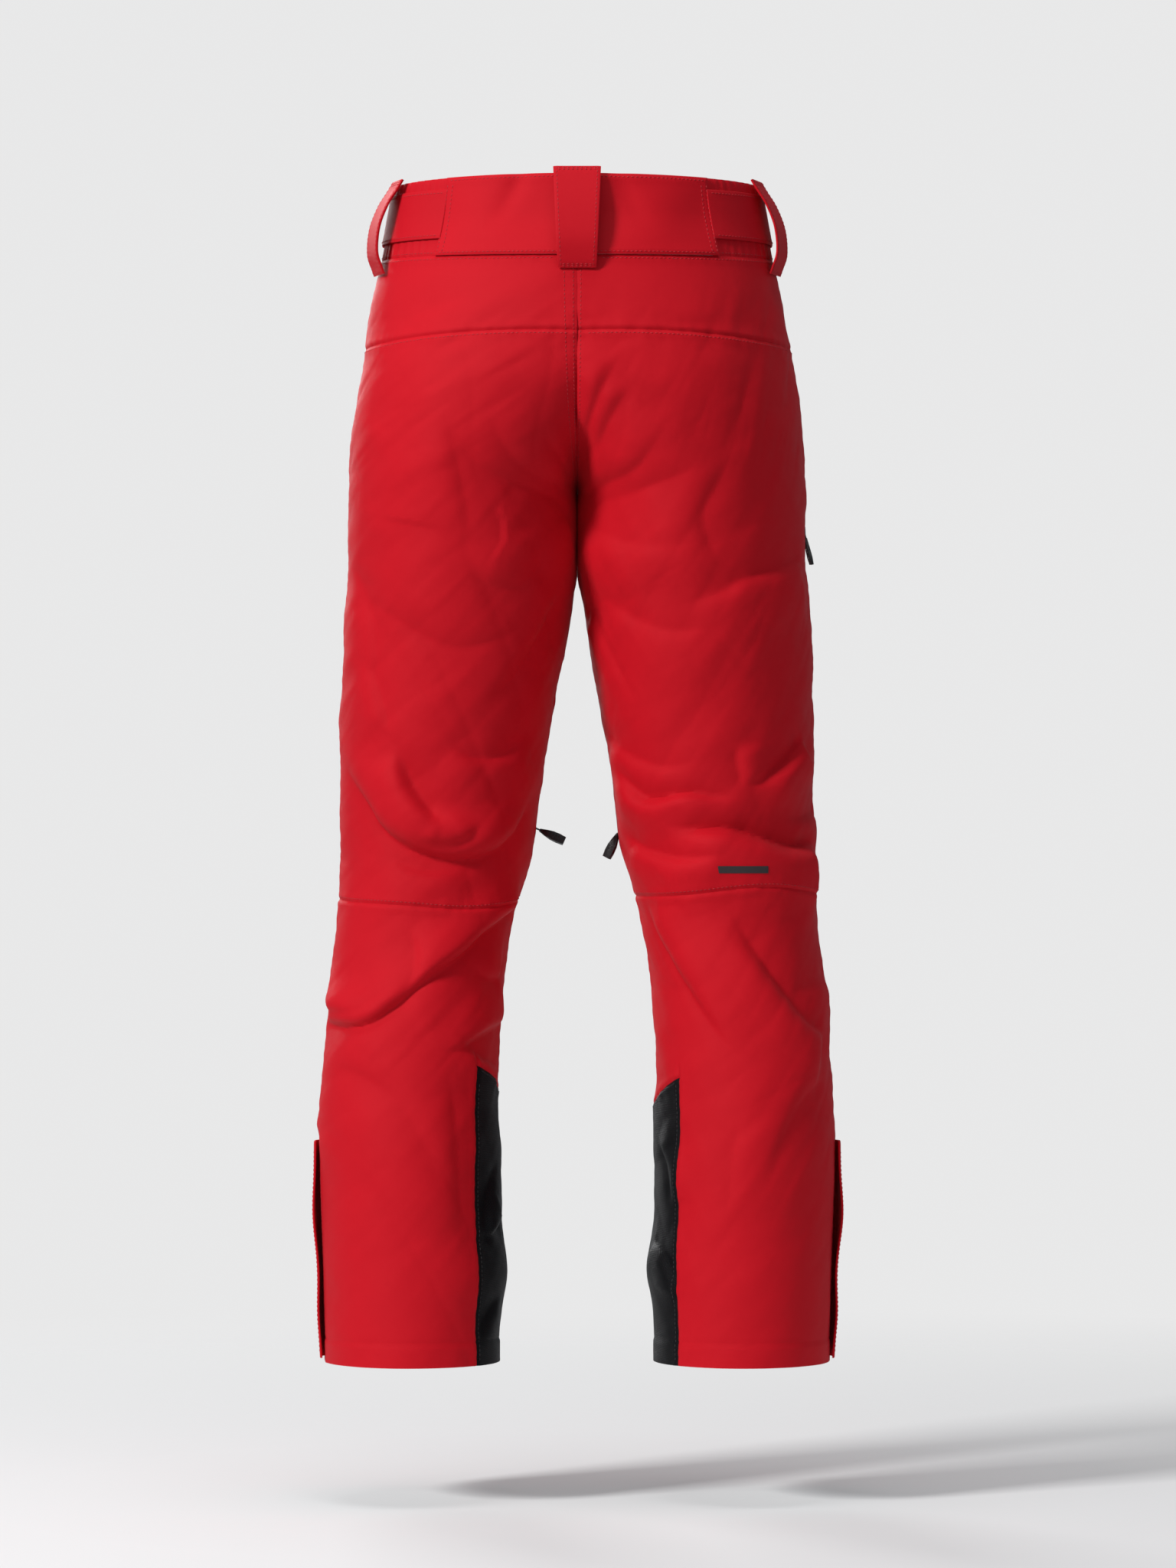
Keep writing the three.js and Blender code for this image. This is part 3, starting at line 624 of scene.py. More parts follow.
@dataclass
class Patch:
    """A piece of cloth cut out of the surface on the body, between rails that run up it and levels that run round it.
    """

    form: Form
    rails: Sequence[Line]
    levels: Sequence[Line]
    lift: Field
    step: float = 2.6
    tight: bool = True
    holes: frozenset[tuple[int, int]] = frozenset()

    def _spread(self, lines: Sequence[Line], along_height: bool) -> tuple[np.ndarray, list[int]]:
        """Where the grid lines stand, as a line's number plus a share, and each block's first cell.

        Args:
            lines: The rails or the levels, in order.
            along_height: Whether they are crossed going up.

        Returns:
            The grid lines' places and each block's first cell.
        """
        places, starts = [np.array([0.0])], [0]
        for k, (a, b) in enumerate(zip(lines, lines[1:])):
            if along_height:
                length = float(np.mean(np.abs(b(self._probe) - a(self._probe))))
            else:
                heights = np.array([line(self._middle)[0] for line in self.levels])
                middle = np.linspace(heights.min(), heights.max(), 5)
                length = float(np.mean(np.abs(b(middle) - a(middle)) * self.form.radius(middle)))
            shares = spaced(length, self.step, self.tight)
            places.append(k + shares[1:])
            starts.append(starts[-1] + len(shares) - 1)
        return np.concatenate(places), starts

    def grid(self) -> tuple[np.ndarray, np.ndarray, list[int], list[int]]:
        """Angles and heights of every grid point.

        Returns:
            The angles, the heights, and the first column and row of each block.
        """
        self._middle = np.array([0.0])
        mid_height = np.array([500.0])
        self._probe = np.linspace(self.rails[0](mid_height)[0], self.rails[-1](mid_height)[0], 5)
        self._middle = self._probe[2:3]
        u, columns = self._spread(self.rails, False)
        v, rows = self._spread(self.levels, True)
        uu, vv = np.meshgrid(u, v, indexing="ij")
        height = np.full_like(uu, 500.0)
        for _ in range(5):
            angle = self._between(self.rails, uu, height)
            height = self._between(self.levels, vv, angle)
        return angle, height, columns, rows

    @staticmethod
    def _between(lines: Sequence[Line], place: np.ndarray, at: np.ndarray) -> np.ndarray:
        """Reads lines at in-between places.

        Args:
            lines: The rails or the levels.
            place: A line's number plus a share of the way to the next.
            at: Where each line is read.

        Returns:
            The values between the lines.
        """
        k = np.clip(place.astype(int), 0, len(lines) - 2)
        values = np.stack([line(at) for line in lines])
        low = np.take_along_axis(values, k[None], 0)[0]
        high = np.take_along_axis(values, k[None] + 1, 0)[0]
        return low + (high - low) * (place - k)

    def mesh(self, name: str, side: Side) -> bpy.types.Object:
        """Makes the patch as a thin object with its lengths in a UV map.

        Args:
            name: The object's name.
            side: Which half it is on.

        Returns:
            The new object, one sheet thick.
        """
        angle, height, columns, rows = self.grid()
        lift = self.lift(angle, height)
        points = self.form.skin(angle, height, lift)
        n, m = angle.shape
        index = np.arange(n * m).reshape(n, m)
        keep = np.ones((n - 1, m - 1), bool)
        for i, j in self.holes:
            keep[columns[i] : columns[i + 1], rows[j] : rows[j + 1]] = False
        corner = [index[:-1, :-1], index[1:, :-1], index[1:, 1:], index[:-1, 1:]]
        faces = np.stack([c[keep] for c in corner], axis=-1)
        around = angle * self.form.radius(height)
        flat = np.stack([around, height], -1).reshape(-1, 2)
        return cloth_object(name, points.reshape(-1, 3), faces, flat, side, lift.ravel())


def cloth_object(
    name: str, points: np.ndarray, faces: np.ndarray, flat: np.ndarray, side: Side, lift: np.ndarray | None = None
) -> bpy.types.Object:
    """Makes a mesh object from points in millimetres above the hem.

    Args:
        name: The object's name.
        points: Points with X outwards from the middle.
        faces: Rows of corner numbers that face out on the left half.
        flat: Each point's place on the flat cloth, in millimetres.
        side: Which half the piece is on.
        lift: How far each point is off the smooth shape, kept as an attribute that the cloth's painted fold shade
            reads.

    Returns:
        The new object.
    """
    used = np.unique(faces)
    renumber = np.full(len(points), -1)
    renumber[used] = np.arange(len(used))
    faces = renumber[faces]
    if side is Side.RIGHT:
        faces = faces[:, ::-1]
    world = (points[used] - (0, 0, BELT)) * (0.001 * side.value, 0.001, 0.001)
    mesh = bpy.data.meshes.new(name)
    mesh.from_pydata(world.tolist(), [], faces.tolist())
    uv = mesh.uv_layers.new(name="cloth")
    corners = np.empty(len(mesh.loops), int)
    mesh.loops.foreach_get("vertex_index", corners)
    uv.data.foreach_set("uv", (flat[used][corners] * 0.001).astype(np.float32).ravel())
    if lift is not None:
        attribute = mesh.attributes.new("fold", "FLOAT", "POINT")
        attribute.data.foreach_set("value", lift[used].astype(np.float32))
    obj = bpy.data.objects.new(name, mesh)
    bpy.context.scene.collection.objects.link(obj)
    return obj


def only(obj: bpy.types.Object) -> None:
    """Selects one object and makes it the active one.

    Args:
        obj: The object to select.
    """
    bpy.ops.object.select_all(action="DESELECT")
    obj.select_set(True)
    bpy.context.view_layer.objects.active = obj


def modify(obj: bpy.types.Object, kind: str, **settings: object) -> None:
    """Adds a modifier and applies it.

    Args:
        obj: The object.
        kind: The modifier's type.
        **settings: Its settings.
    """
    only(obj)
    modifier = obj.modifiers.new(kind.lower(), kind)
    for key, value in settings.items():
        setattr(modifier, key, value)
    bpy.ops.object.modifier_apply(modifier=modifier.name)


def thicken(obj: bpy.types.Object, thickness: float, rounded: bool = False) -> bpy.types.Object:
    """Gives a sheet its wall, inwards from the outer face, and shades it.

    Args:
        obj: The sheet.
        thickness: The wall, in millimetres.
        rounded: Whether the cut edges are rolled over.

    Returns:
        The same object.
    """
    while len(obj.data.materials) < 2:
        obj.data.materials.append(None)
    modify(obj, "SOLIDIFY", thickness=thickness * 0.001, offset=-1, use_even_offset=False, material_offset=1)
    if rounded:
        modify(obj, "BEVEL", width=thickness * 0.00032, segments=2, limit_method="ANGLE", angle_limit=1.0)
    only(obj)
    bpy.ops.object.shade_smooth_by_angle(angle=0.9)
    return obj


def joined(objects: Sequence[bpy.types.Object], name: str, weld: float = 0.0) -> bpy.types.Object:
    """Joins objects into one.

    Args:
        objects: The objects, the first of which is kept.
        name: The new name.
        weld: The distance in metres under which points become one, or 0.

    Returns:
        The joined object.
    """
    only(objects[0])
    for obj in objects:
        obj.select_set(True)
    bpy.ops.object.join()
    obj = bpy.context.object
    obj.name = obj.data.name = name
    if weld:
        work = bmesh.new()
        work.from_mesh(obj.data)
        bmesh.ops.remove_doubles(work, verts=work.verts, dist=weld)
        work.to_mesh(obj.data)
        work.free()
    return obj


# ---- Shader graph ----


class Wire:
    """A number socket that takes part in arithmetic: each expression on it adds its Math nodes."""

    def __init__(self, graph: "Graph", socket: bpy.types.NodeSocket) -> None:
        """Wraps a socket of a graph."""
        self.graph, self.socket = graph, socket

    def _math(self, operation: str, *values: "Wire | float") -> "Wire":
        """Adds one Math node over the values."""
        node = self.graph.node("ShaderNodeMath", {"operation": operation}, dict(enumerate(values)))
        return Wire(self.graph, node.outputs[0])

    def __add__(self, other: "Wire | float") -> "Wire":
        """self + other."""
        return self._math("ADD", self, other)

    __radd__ = __add__

    def __sub__(self, other: "Wire | float") -> "Wire":
        """self - other."""
        return self._math("SUBTRACT", self, other)

    def __rsub__(self, other: "Wire | float") -> "Wire":
        """other - self."""
        return self._math("SUBTRACT", other, self)

    def __mul__(self, other: "Wire | float") -> "Wire":
        """self * other."""
        return self._math("MULTIPLY", self, other)

    __rmul__ = __mul__

    def __truediv__(self, other: "Wire | float") -> "Wire":
        """self / other."""
        return self._math("DIVIDE", self, other)

    def __mod__(self, other: "Wire | float") -> "Wire":
        """self modulo other, which stays positive."""
        return self._math("FLOORED_MODULO", self, other)

    def __abs__(self) -> "Wire":
        """The size without its sign."""
        return self._math("ABSOLUTE", self)

    def floor(self) -> "Wire":
        """Rounded down."""
        return self._math("FLOOR", self)

    def sine(self) -> "Wire":
        """The sine, of radians."""
        return self._math("SINE", self)

    def clamped(self) -> "Wire":
        """Kept between 0 and 1."""
        return self._math("MINIMUM", self._math("MAXIMUM", self, 0.0), 1.0)


class Graph:
    """The node tree of one material."""

    def __init__(self, name: str) -> None:
        """Starts a material with a Principled shader.

        Args:
            name: The material's name.
        """
        self.material = bpy.data.materials.new(name)
        self.material.use_nodes = True
        self.tree = self.material.node_tree
        self.shader = self.tree.nodes["Principled BSDF"]

    def node(
        self, kind: str, settings: dict[str, object] | None = None, inputs: dict[object, object] | None = None
    ) -> bpy.types.Node:
        """Adds a node.

        Args:
            kind: The node's type.
            settings: Its settings; a ramp's stops are given as "stops".
            inputs: Values, wires or sockets by input name or number.

        Returns:
            The new node.
        """
        node = self.tree.nodes.new(kind)
        for key, value in (settings or {}).items():
            if key == "stops":
                ramp = node.color_ramp
                while len(ramp.elements) < len(value):
                    ramp.elements.new(0.5)
                for element, (position, colour) in zip(ramp.elements, value):
                    element.position, element.color = position, colour
            else:
                setattr(node, key, value)
        for key, value in (inputs or {}).items():
            self.feed(node, key, value)
        return node

    def feed(self, node: bpy.types.Node, key: object, value: object) -> None:
        """Sets or links one input of a node.

        Args:
            node: The node whose input is set.
            key: The input's name or number.
            value: A link, a number or a colour.
        """
        if isinstance(value, Wire):
            value = value.socket
        if isinstance(value, bpy.types.NodeSocket):
            self.tree.links.new(value, node.inputs[key])
        else:
            node.inputs[key].default_value = value

    def wire(self, node: bpy.types.Node, output: object = 0) -> Wire:
        """An output of a node as a wire."""
        return Wire(self, node.outputs[output])

    def noise(self, coordinates: bpy.types.NodeSocket, scale: float, detail: float = 3.0) -> Wire:
        """A noise between 0 and 1."""
        node = self.node("ShaderNodeTexNoise", None, {"Vector": coordinates, "Scale": scale, "Detail": detail})
        return self.wire(node, "Fac")

    def mix(self, factor: Wire | float, first: object, second: object) -> bpy.types.NodeSocket:
        """A colour between two others."""
        node = self.node("ShaderNodeMix", {"data_type": "RGBA"}, {0: factor, 6: first, 7: second})
        return node.outputs[2]

    def relief(self, height: Wire, distance: float, strength: float) -> None:
        """Feeds a height to the shader's normal."""
        node = self.node("ShaderNodeBump", None, {"Height": height, "Distance": distance, "Strength": strength})
        self.tree.links.new(node.outputs[0], self.shader.inputs["Normal"])


Colour = tuple[float, float, float]


def rgba(colour: Colour, gain: float = 1.0) -> tuple[float, float, float, float]:
    """A colour with full alpha, made lighter or darker."""
    return (colour[0] * gain, colour[1] * gain, colour[2] * gain, 1.0)


@dataclass(frozen=True)
class Cloth:
    """A woven cloth, whose threads follow the piece's own flat lengths."""

    name: str
    colour: Colour
    pitch: float
    relief: float = 0.5
    roughness: float = 0.6
    sheen: float = 0.02
    gloss: float = 0.11
    mottle: float = 0.08
    # Painted shade and painted highlight: how much the colour is darkened in fold valleys and lightened on fold
    # ridges.
    worn: float = 0.1

    def build(self) -> bpy.types.Material:
        """Makes the material.

        Returns:
            The cloth's material.
        """
        g = Graph(self.name)
        flat = g.node("ShaderNodeUVMap", {"uv_map": "cloth"}).outputs[0]
        parts = g.node("ShaderNodeSeparateXYZ", None, {0: flat})
        warp = g.wire(parts, 0) * (1000.0 / self.pitch)
        weft = g.wire(parts, 1) * (1000.0 / self.pitch)
        over = (warp.floor() + weft.floor()) % 2.0
        thread = abs((warp * math.pi).sine()) * over + abs((weft * math.pi).sine()) * (1.0 - over)
        slub = g.noise(flat, 900.0 / self.pitch, 2.0)
        cloud = g.noise(flat, 7.0, 4.0)
        blotch = g.noise(flat, 38.0, 3.0)
        # The fold attribute drives painted shade in the fold valleys and a painted highlight on the fold ridges.
        fold = g.wire(g.node("ShaderNodeAttribute", {"attribute_name": "fold"}), "Fac")
        shade = ((fold * 0.05) + 0.5).clamped()
        light = g.mix(cloud, rgba(self.colour, 1 - self.mottle), rgba(self.colour, 1 + self.mottle))
        light = g.mix(blotch * 0.35, light, rgba(self.colour, 1 - 1.4 * self.mottle))
        light = g.mix((slub - 0.5) * 0.5 + thread * 0.16, light, rgba(self.colour, 1.18))
        # Painted shade darkens the fold valleys, then a painted highlight lightens the fold ridges.
        light = g.mix((1.0 - shade) * self.worn * 1.6, light, rgba(self.colour, 0.72))
        light = g.mix(shade * self.worn, light, rgba(self.colour, 1.15))
        g.feed(g.shader, "Base Color", light)
        g.feed(g.shader, "Roughness", (slub - 0.5) * 0.16 + self.roughness + (cloud - 0.5) * 0.08)
        g.shader.inputs["Sheen Weight"].default_value = self.sheen
        g.shader.inputs["Sheen Roughness"].default_value = 0.45
        g.shader.inputs["Specular IOR Level"].default_value = self.gloss
        g.relief(thread + slub * 0.9 + blotch * 1.2, 0.00014 * self.pitch / 0.5, self.relief)
        return g.material


@dataclass(frozen=True)
class Moulding:
    """Moulded plastic or plated metal, with a fine grain and a broad uneven tone."""

    name: str
    colour: Colour
    roughness: float
    metallic: float = 0.0
    grain: float = 2500.0

    def build(self) -> bpy.types.Material:
        """Makes the material.

        Returns:
            The moulding's material.
        """
        g = Graph(self.name)
        place = g.node("ShaderNodeTexCoord").outputs["Object"]
        fine, broad = g.noise(place, self.grain, 2.0), g.noise(place, 160.0, 4.0)
        g.feed(g.shader, "Base Color", g.mix(broad, rgba(self.colour, 0.8), rgba(self.colour, 1.5)))
        g.feed(g.shader, "Roughness", (broad - 0.5) * 0.24 + fine * 0.08 + self.roughness)
        g.shader.inputs["Metallic"].default_value = self.metallic
        g.relief(fine + broad * 0.6, 0.00008, 0.35)
        return g.material


@dataclass(frozen=True)
class Thread:
    """Sewing thread, twisted along each stitch."""

    name: str
    colour: Colour

    def build(self) -> bpy.types.Material:
        """Makes the material.

        Returns:
            The thread's material.
        """
        g = Graph(self.name)
        place = g.node("ShaderNodeTexCoord").outputs["Object"]
        twist = g.noise(place, 1800.0, 2.0)
        g.feed(g.shader, "Base Color", g.mix(twist, rgba(self.colour, 0.75), rgba(self.colour, 1.25)))
        g.feed(g.shader, "Roughness", twist * 0.2 + 0.45)
        g.relief(twist, 0.00006, 0.4)
        return g.material


RED: Colour = (0.56, 0.0038, 0.0125)
INK: Colour = (0.0048, 0.005, 0.006)


@dataclass
class Wardrobe:
    """Every finish of the pants, made once."""

    shell: bpy.types.Material = field(init=False)
    trim: bpy.types.Material = field(init=False)
    lining: bpy.types.Material = field(init=False)
    guard: bpy.types.Material = field(init=False)
    gaiter: bpy.types.Material = field(init=False)
    tape: bpy.types.Material = field(init=False)
    plastic: bpy.types.Material = field(init=False)
    metal: bpy.types.Material = field(init=False)
    badge: bpy.types.Material = field(init=False)
    thread: bpy.types.Material = field(init=False)
    dark_thread: bpy.types.Material = field(init=False)

    def __post_init__(self) -> None:
        """Builds the materials."""
        self.shell = Cloth("shell_cloth", RED, 0.55).build()
        self.trim = Cloth("strap_cloth", (0.53, 0.0036, 0.012), 0.5, relief=0.45).build()
        self.lining = Cloth("lining_cloth", (0.045, 0.046, 0.052), 0.8, relief=0.6, sheen=0.1).build()
        guard = Cloth("scuff_cloth", INK, 1.05, relief=0.9, roughness=0.46, sheen=0.0, gloss=0.1, mottle=0.25)
        self.guard = guard.build()
        self.gaiter = Cloth("gaiter_cloth", (0.012, 0.012, 0.013), 0.6, sheen=0.03).build()
        self.tape = Cloth("zip_tape_cloth", (0.013, 0.013, 0.014), 0.7, relief=0.8).build()
        self.plastic = Moulding("puller_moulding", INK, 0.36).build()
        self.metal = Moulding("dark_plated_metal", (0.045, 0.046, 0.05), 0.3, 0.9, 1200.0).build()
        self.badge = Moulding("badge_film", (0.02, 0.012, 0.014), 0.5).build()
        self.thread = Thread("red_thread", (0.42, 0.004, 0.012)).build()
        self.dark_thread = Thread("black_thread", (0.02, 0.02, 0.022)).build()


def dress(obj: bpy.types.Object, *materials: bpy.types.Material) -> None:
    """Puts materials in an object's slots, in order.

    Args:
        obj: The object to dress.
        materials: One material for each slot.
    """
    for place, material in enumerate(materials):
        if place < len(obj.data.materials):
            obj.data.materials[place] = material
        else:
            obj.data.materials.append(material)


# ---- Stitches ----


@dataclass
class Needle:
    """Sews rows of separate stitches along lines in space."""

    length: float = 2.7
    gap: float = 1.3
    radius: float = 0.42
    points: list[np.ndarray] = field(default_factory=list)
    faces: list[np.ndarray] = field(default_factory=list)
    count: int = 0

    def __post_init__(self) -> None:
        """Models one stitch: a short thread that dives into the cloth at both ends."""
        bpy.ops.object.select_all(action="DESELECT")
        bpy.ops.mesh.primitive_cylinder_add(vertices=6, radius=self.radius, depth=self.length, end_fill_type="NGON")
        stitch = bpy.context.object
        bpy.ops.object.mode_set(mode="EDIT")
        bpy.ops.mesh.select_all(action="SELECT")
        bpy.ops.mesh.subdivide(number_cuts=1)
        bpy.ops.object.mode_set(mode="OBJECT")
        work = bmesh.new()
        work.from_mesh(stitch.data)
        bmesh.ops.triangulate(work, faces=work.faces)
        co = np.array([v.co for v in work.verts])
        ends = np.abs(co[:, 2]) / (self.length / 2)
        co[:, :2] *= (1 - 0.45 * ends**4)[:, None]
        co[:, 0] -= 0.5 * self.radius * ends**2
        self.shape = co
        self.corners = np.array([[v.index for v in f.verts] for f in work.faces])
        work.free()
        bpy.data.objects.remove(stitch)

    def sew(self, line: np.ndarray, normal: np.ndarray) -> None:
        """Sews one row.

        Args:
            line: Points along the row, in millimetres.
            normal: The cloth's outward direction at each.
        """
        steps = np.linalg.norm(np.diff(line, axis=0), axis=1)
        run = np.concatenate([[0], np.cumsum(steps)])
        pitch = self.length + self.gap
        for middle in np.arange(pitch / 2, run[-1] - self.length / 2, pitch):
            at = np.array([np.interp(middle, run, line[:, k]) for k in range(3)])
            ahead = np.array([np.interp(middle + 1, run, line[:, k]) for k in range(3)])
            before = np.array([np.interp(middle - 1, run, line[:, k]) for k in range(3)])
            out = np.array([np.interp(middle, run, normal[:, k]) for k in range(3)])
            along = ahead - before
            if np.linalg.norm(along) < 1e-6:
                continue
            along /= np.linalg.norm(along)
            out -= along * (out @ along)
            out /= max(np.linalg.norm(out), 1e-9)
            across = np.cross(along, out)
            basis = np.stack([out, across, along])
            self.points.append(at + self.shape @ basis)
            self.faces.append(self.corners + self.count)
            self.count += len(self.shape)

    def finish(self, name: str, material: bpy.types.Material) -> bpy.types.Object:
        """Makes all the rows one object.

        Args:
            name: The object's name.
            material: The thread.

        Returns:
            The new object.
        """
        points = (np.vstack(self.points) - (0, 0, BELT)) * 0.001
        mesh = bpy.data.meshes.new(name)
        mesh.from_pydata(points.tolist(), [], np.vstack(self.faces).tolist())
        mesh.polygons.foreach_set("use_smooth", [True] * len(mesh.polygons))
        obj = bpy.data.objects.new(name, mesh)
        bpy.context.scene.collection.objects.link(obj)
        dress(obj, material)
        self.points, self.faces, self.count = [], [], 0
        return obj


def on_skin(
    form: Form, side: Side, lift: Field, angle: np.ndarray, height: np.ndarray
) -> tuple[np.ndarray, np.ndarray]:
    """A line on the cloth and its outward direction.

    Args:
        form: The shape on the body.
        side: Which half.
        lift: How far off the smooth shape the cloth lies.
        angle: Angles along the line.
        height: Heights along the line.

    Returns:
        Points in millimetres and unit directions.
    """
    angle, height = np.broadcast_arrays(np.asarray(angle, float), np.asarray(height, float))
    off = lift(angle, height)
    mirror = np.array([side.value, 1, 1])
    at = form.skin(angle, height, off + 0.12) * mirror
    out = form.skin(angle, height, off + 3.0) * mirror - at
    return at, out / np.linalg.norm(out, axis=-1, keepdims=True)


# ---- Assemblies ----


@dataclass
class Kit:
    """What every assembly works with."""

    form: Form
    finish: Wardrobe
    drapes: dict[Side, Drape]
    needle: Needle
    joints: dict[str, dict]

    def place(
        self, obj: bpy.types.Object, body: str, slot: str, nodes: Sequence[str], *materials: bpy.types.Material
    ) -> bpy.types.Object:
        """Dresses a finished piece and ties it to the part.

        Args:
            obj: The piece.
            body: The body that it moves with.
            slot: The record's material slot; not used.
            nodes: The nodes that it stands for.
            *materials: Its materials, in slot order.

        Returns:
            The piece.
        """
        if materials:
            dress(obj, *materials)
        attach(obj, body)
        if nodes:
            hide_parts(*nodes)
        faces = sum(len(polygon.vertices) - 2 for polygon in obj.data.polygons)
        LOG.info("%s rides on %s, %d triangles", obj.name, body, faces)
        return obj


@dataclass
class Shell:
    """The sewn outer panels of both legs and the seat."""

    kit: Kit
    slot_half: float = 5.6
    vent: tuple[float, float] = (474, 705)
    ankle_top: float = 186
    fly_bottom: float = 892
    hand: tuple[float, float] = (834, 982)

    def opening(self, height: np.ndarray, low: float, high: float) -> np.ndarray:
        """Half the width of a zip's opening, which closes in a short curve at its ends."""
        inside = smooth(height, low, low + 9) * smooth(height, high, high - 9)
        return 0.12 + (self.slot_half - 0.12) * inside**0.6

    def end(self, height: np.ndarray) -> np.ndarray:
        """Where a back panel ends: the centre seam, then the inseam and its vent."""
        gap = np.where(height < CROTCH - 20, self.opening(height, *self.vent), 0.0)
        return self.kit.form.reach(height) - gap / self.kit.form.radius(height)

    def front_end(self, height: np.ndarray) -> np.ndarray:
        """Where a front panel ends: the fly, then the inseam and its vent.

        Args:
            height: Heights above the hem.

        Returns:
            The panel's last angle at each height.
        """
        fly = 0.05 + self.slot_half * smooth(height, self.fly_bottom - 6, self.fly_bottom)
        gap = np.where(height < CROTCH - 20, self.opening(height, *self.vent), fly)
        return -self.kit.form.reach(height) + gap / self.kit.form.radius(height)

    def ankle(self, height: np.ndarray) -> np.ndarray:
        """Half the ankle zip's opening as an angle, open at the hem."""
        half = 0.1 + self.slot_half * smooth(height, self.ankle_top, self.ankle_top - 9) ** 0.6
        return half / self.kit.form.radius(height)

    def hand_edge(self, sign: int) -> Line:
        """One edge of the hand pocket's opening."""
        return lambda height: -42 * DEG + sign * 6.0 / self.kit.form.radius(height)

    def panels(self, side: Side) -> dict[str, dict]:
        """Each panel's cut on one side: its rails, levels and holes.

        Args:
            side: Which half.

        Returns:
            Each panel's name and its cut.
        """
        side_seam, knee, guard = upright(0.0), knee_seam(side), guard_top(side)
        return {
            "yoke": {"rails": (side_seam, self.end), "levels": (yoke_seam, waist_seam)},
            "back_thigh": {"rails": (side_seam, self.end), "levels": (knee, yoke_seam)},
            "front_thigh": {
                "rails": (self.front_end, self.hand_edge(-1), self.hand_edge(1), side_seam),
                "levels": (knee, level(self.hand[0]), level(self.hand[1]), waist_seam),
                "holes": frozenset({(1, 1)}),
            },
            "back_calf": {
                "rails": (self.ankle, upright(GUARD_REAR), self.end),
                "levels": (level(0), guard, knee),
                "holes": frozenset({(1, 0)}),
            },
            "front_shin": {
                "rails": (self.front_end, upright(GUARD_FRONT - 2 * math.pi), lambda h: -self.ankle(h)),
                "levels": (level(0), guard, knee),
                "holes": frozenset({(0, 0)}),
            },
            "scuff_guard": {
                "rails": (upright(GUARD_REAR), upright(GUARD_FRONT)),
                "levels": (level(0), guard),
            },
        }

    def build(self) -> None:
        """Makes every panel of both halves, and their topstitching."""
        for side in Side:
            drape = self.kit.drapes[side]
            for name, cut in self.panels(side).items():
                lift: Field = lambda a, h, d=drape: d(a, h) + self.hem(h)
                obj = Patch(self.kit.form, lift=lift, **cut).mesh(f"{name}_cloth_{side.word}", side)
                thicken(obj, SHELL - 0.2)
                black = name == "scuff_guard"
                outer = self.kit.finish.guard if black else self.kit.finish.shell
                slot = "guard_fabric" if black else "shell_fabric"
                self.kit.place(obj, "pants", slot, [f"{name}_{side.word}"], outer, self.kit.finish.lining)
            self.topstitch(side)
        self.badge()

    def badge(self) -> None:
        """Makes a plain raised bar behind the right knee, with no mark on it."""
        drape = self.kit.drapes[Side.RIGHT]
        start, end, low, high = 66 * DEG, 93 * DEG, 444.0, 450.5
        raised: Field = lambda a, h: drape(a, h) + 0.38
        cut = Patch(self.kit.form, (upright(start), upright(end)), (level(low), level(high)), raised, 1.4, False)
        obj = thicken(cut.mesh("plain_badge", Side.RIGHT), 0.3, True)
        self.kit.place(obj, "pants", "moulded_black", [], self.kit.finish.badge, self.kit.finish.badge)

    @staticmethod
    def hem(height: np.ndarray) -> np.ndarray:
        """The turned hem: a double layer that ends in a soft step."""
        return 0.7 * smooth(height, 22, 19) - 0.5 * bump(height, 21, 1.6)

    def topstitch(self, side: Side) -> None:
        """Sews the rows beside the seams of one half.

        Args:
            side: Which half.
        """
        kit, drape = self.kit, self.kit.drapes[side]
        lift: Field = lambda a, h: drape(a, h) + self.hem(h)
        t = np.linspace(0, 1, 240)

        def row(angle: np.ndarray, height: np.ndarray) -> None:
            """Sews one row along a line."""
            kit.needle.sew(*on_skin(kit.form, side, lift, angle, height))

        heights = CROTCH + 8 + t * (waist_seam(np.pi / 2) - CROTCH - 12)
        for off in (3.0, 10.0) if side is Side.LEFT else (3.0,):
            row(kit.form.reach(heights) - off / kit.form.radius(heights), heights)
        angle = t * (kit.form.reach(935.0) - 0.02)
        row(angle, yoke_seam(angle) - 3.2)
        around = (2 * t - 1) * (kit.form.reach(1000.0) - 0.1)
        row(around, waist_seam(around) - 3.4)
        whole = (2 * t - 1) * math.pi * 0.996
        outside = np.abs(whole) > 0.09
        knee = knee_seam(side)
        for part in (whole[outside & (whole > 0)], whole[outside & (whole < 0)]):
            row(part, knee(part) + 3.0)
        low = 3 + t * 170
        row(np.full_like(low, 0.0) + 9.5 / kit.form.radius(low), low)
        obj = kit.needle.finish(f"shell_topstitch_{side.word}", kit.finish.thread)
        kit.place(obj, "pants", "shell_fabric", [])
        rear = 4 + t * 250
        row(GUARD_REAR + 3 / kit.form.radius(rear), rear)
        row(GUARD_FRONT - 3 / kit.form.radius(low), low + 20)
        edge = GUARD_REAR + 0.05 + t * (GUARD_FRONT - GUARD_REAR - 0.1)
        row(edge, guard_top(side)(edge) - 3.2)
        obj = kit.needle.finish(f"guard_topstitch_{side.word}", kit.finish.dark_thread)
        kit.place(obj, "pants", "guard_fabric", [])


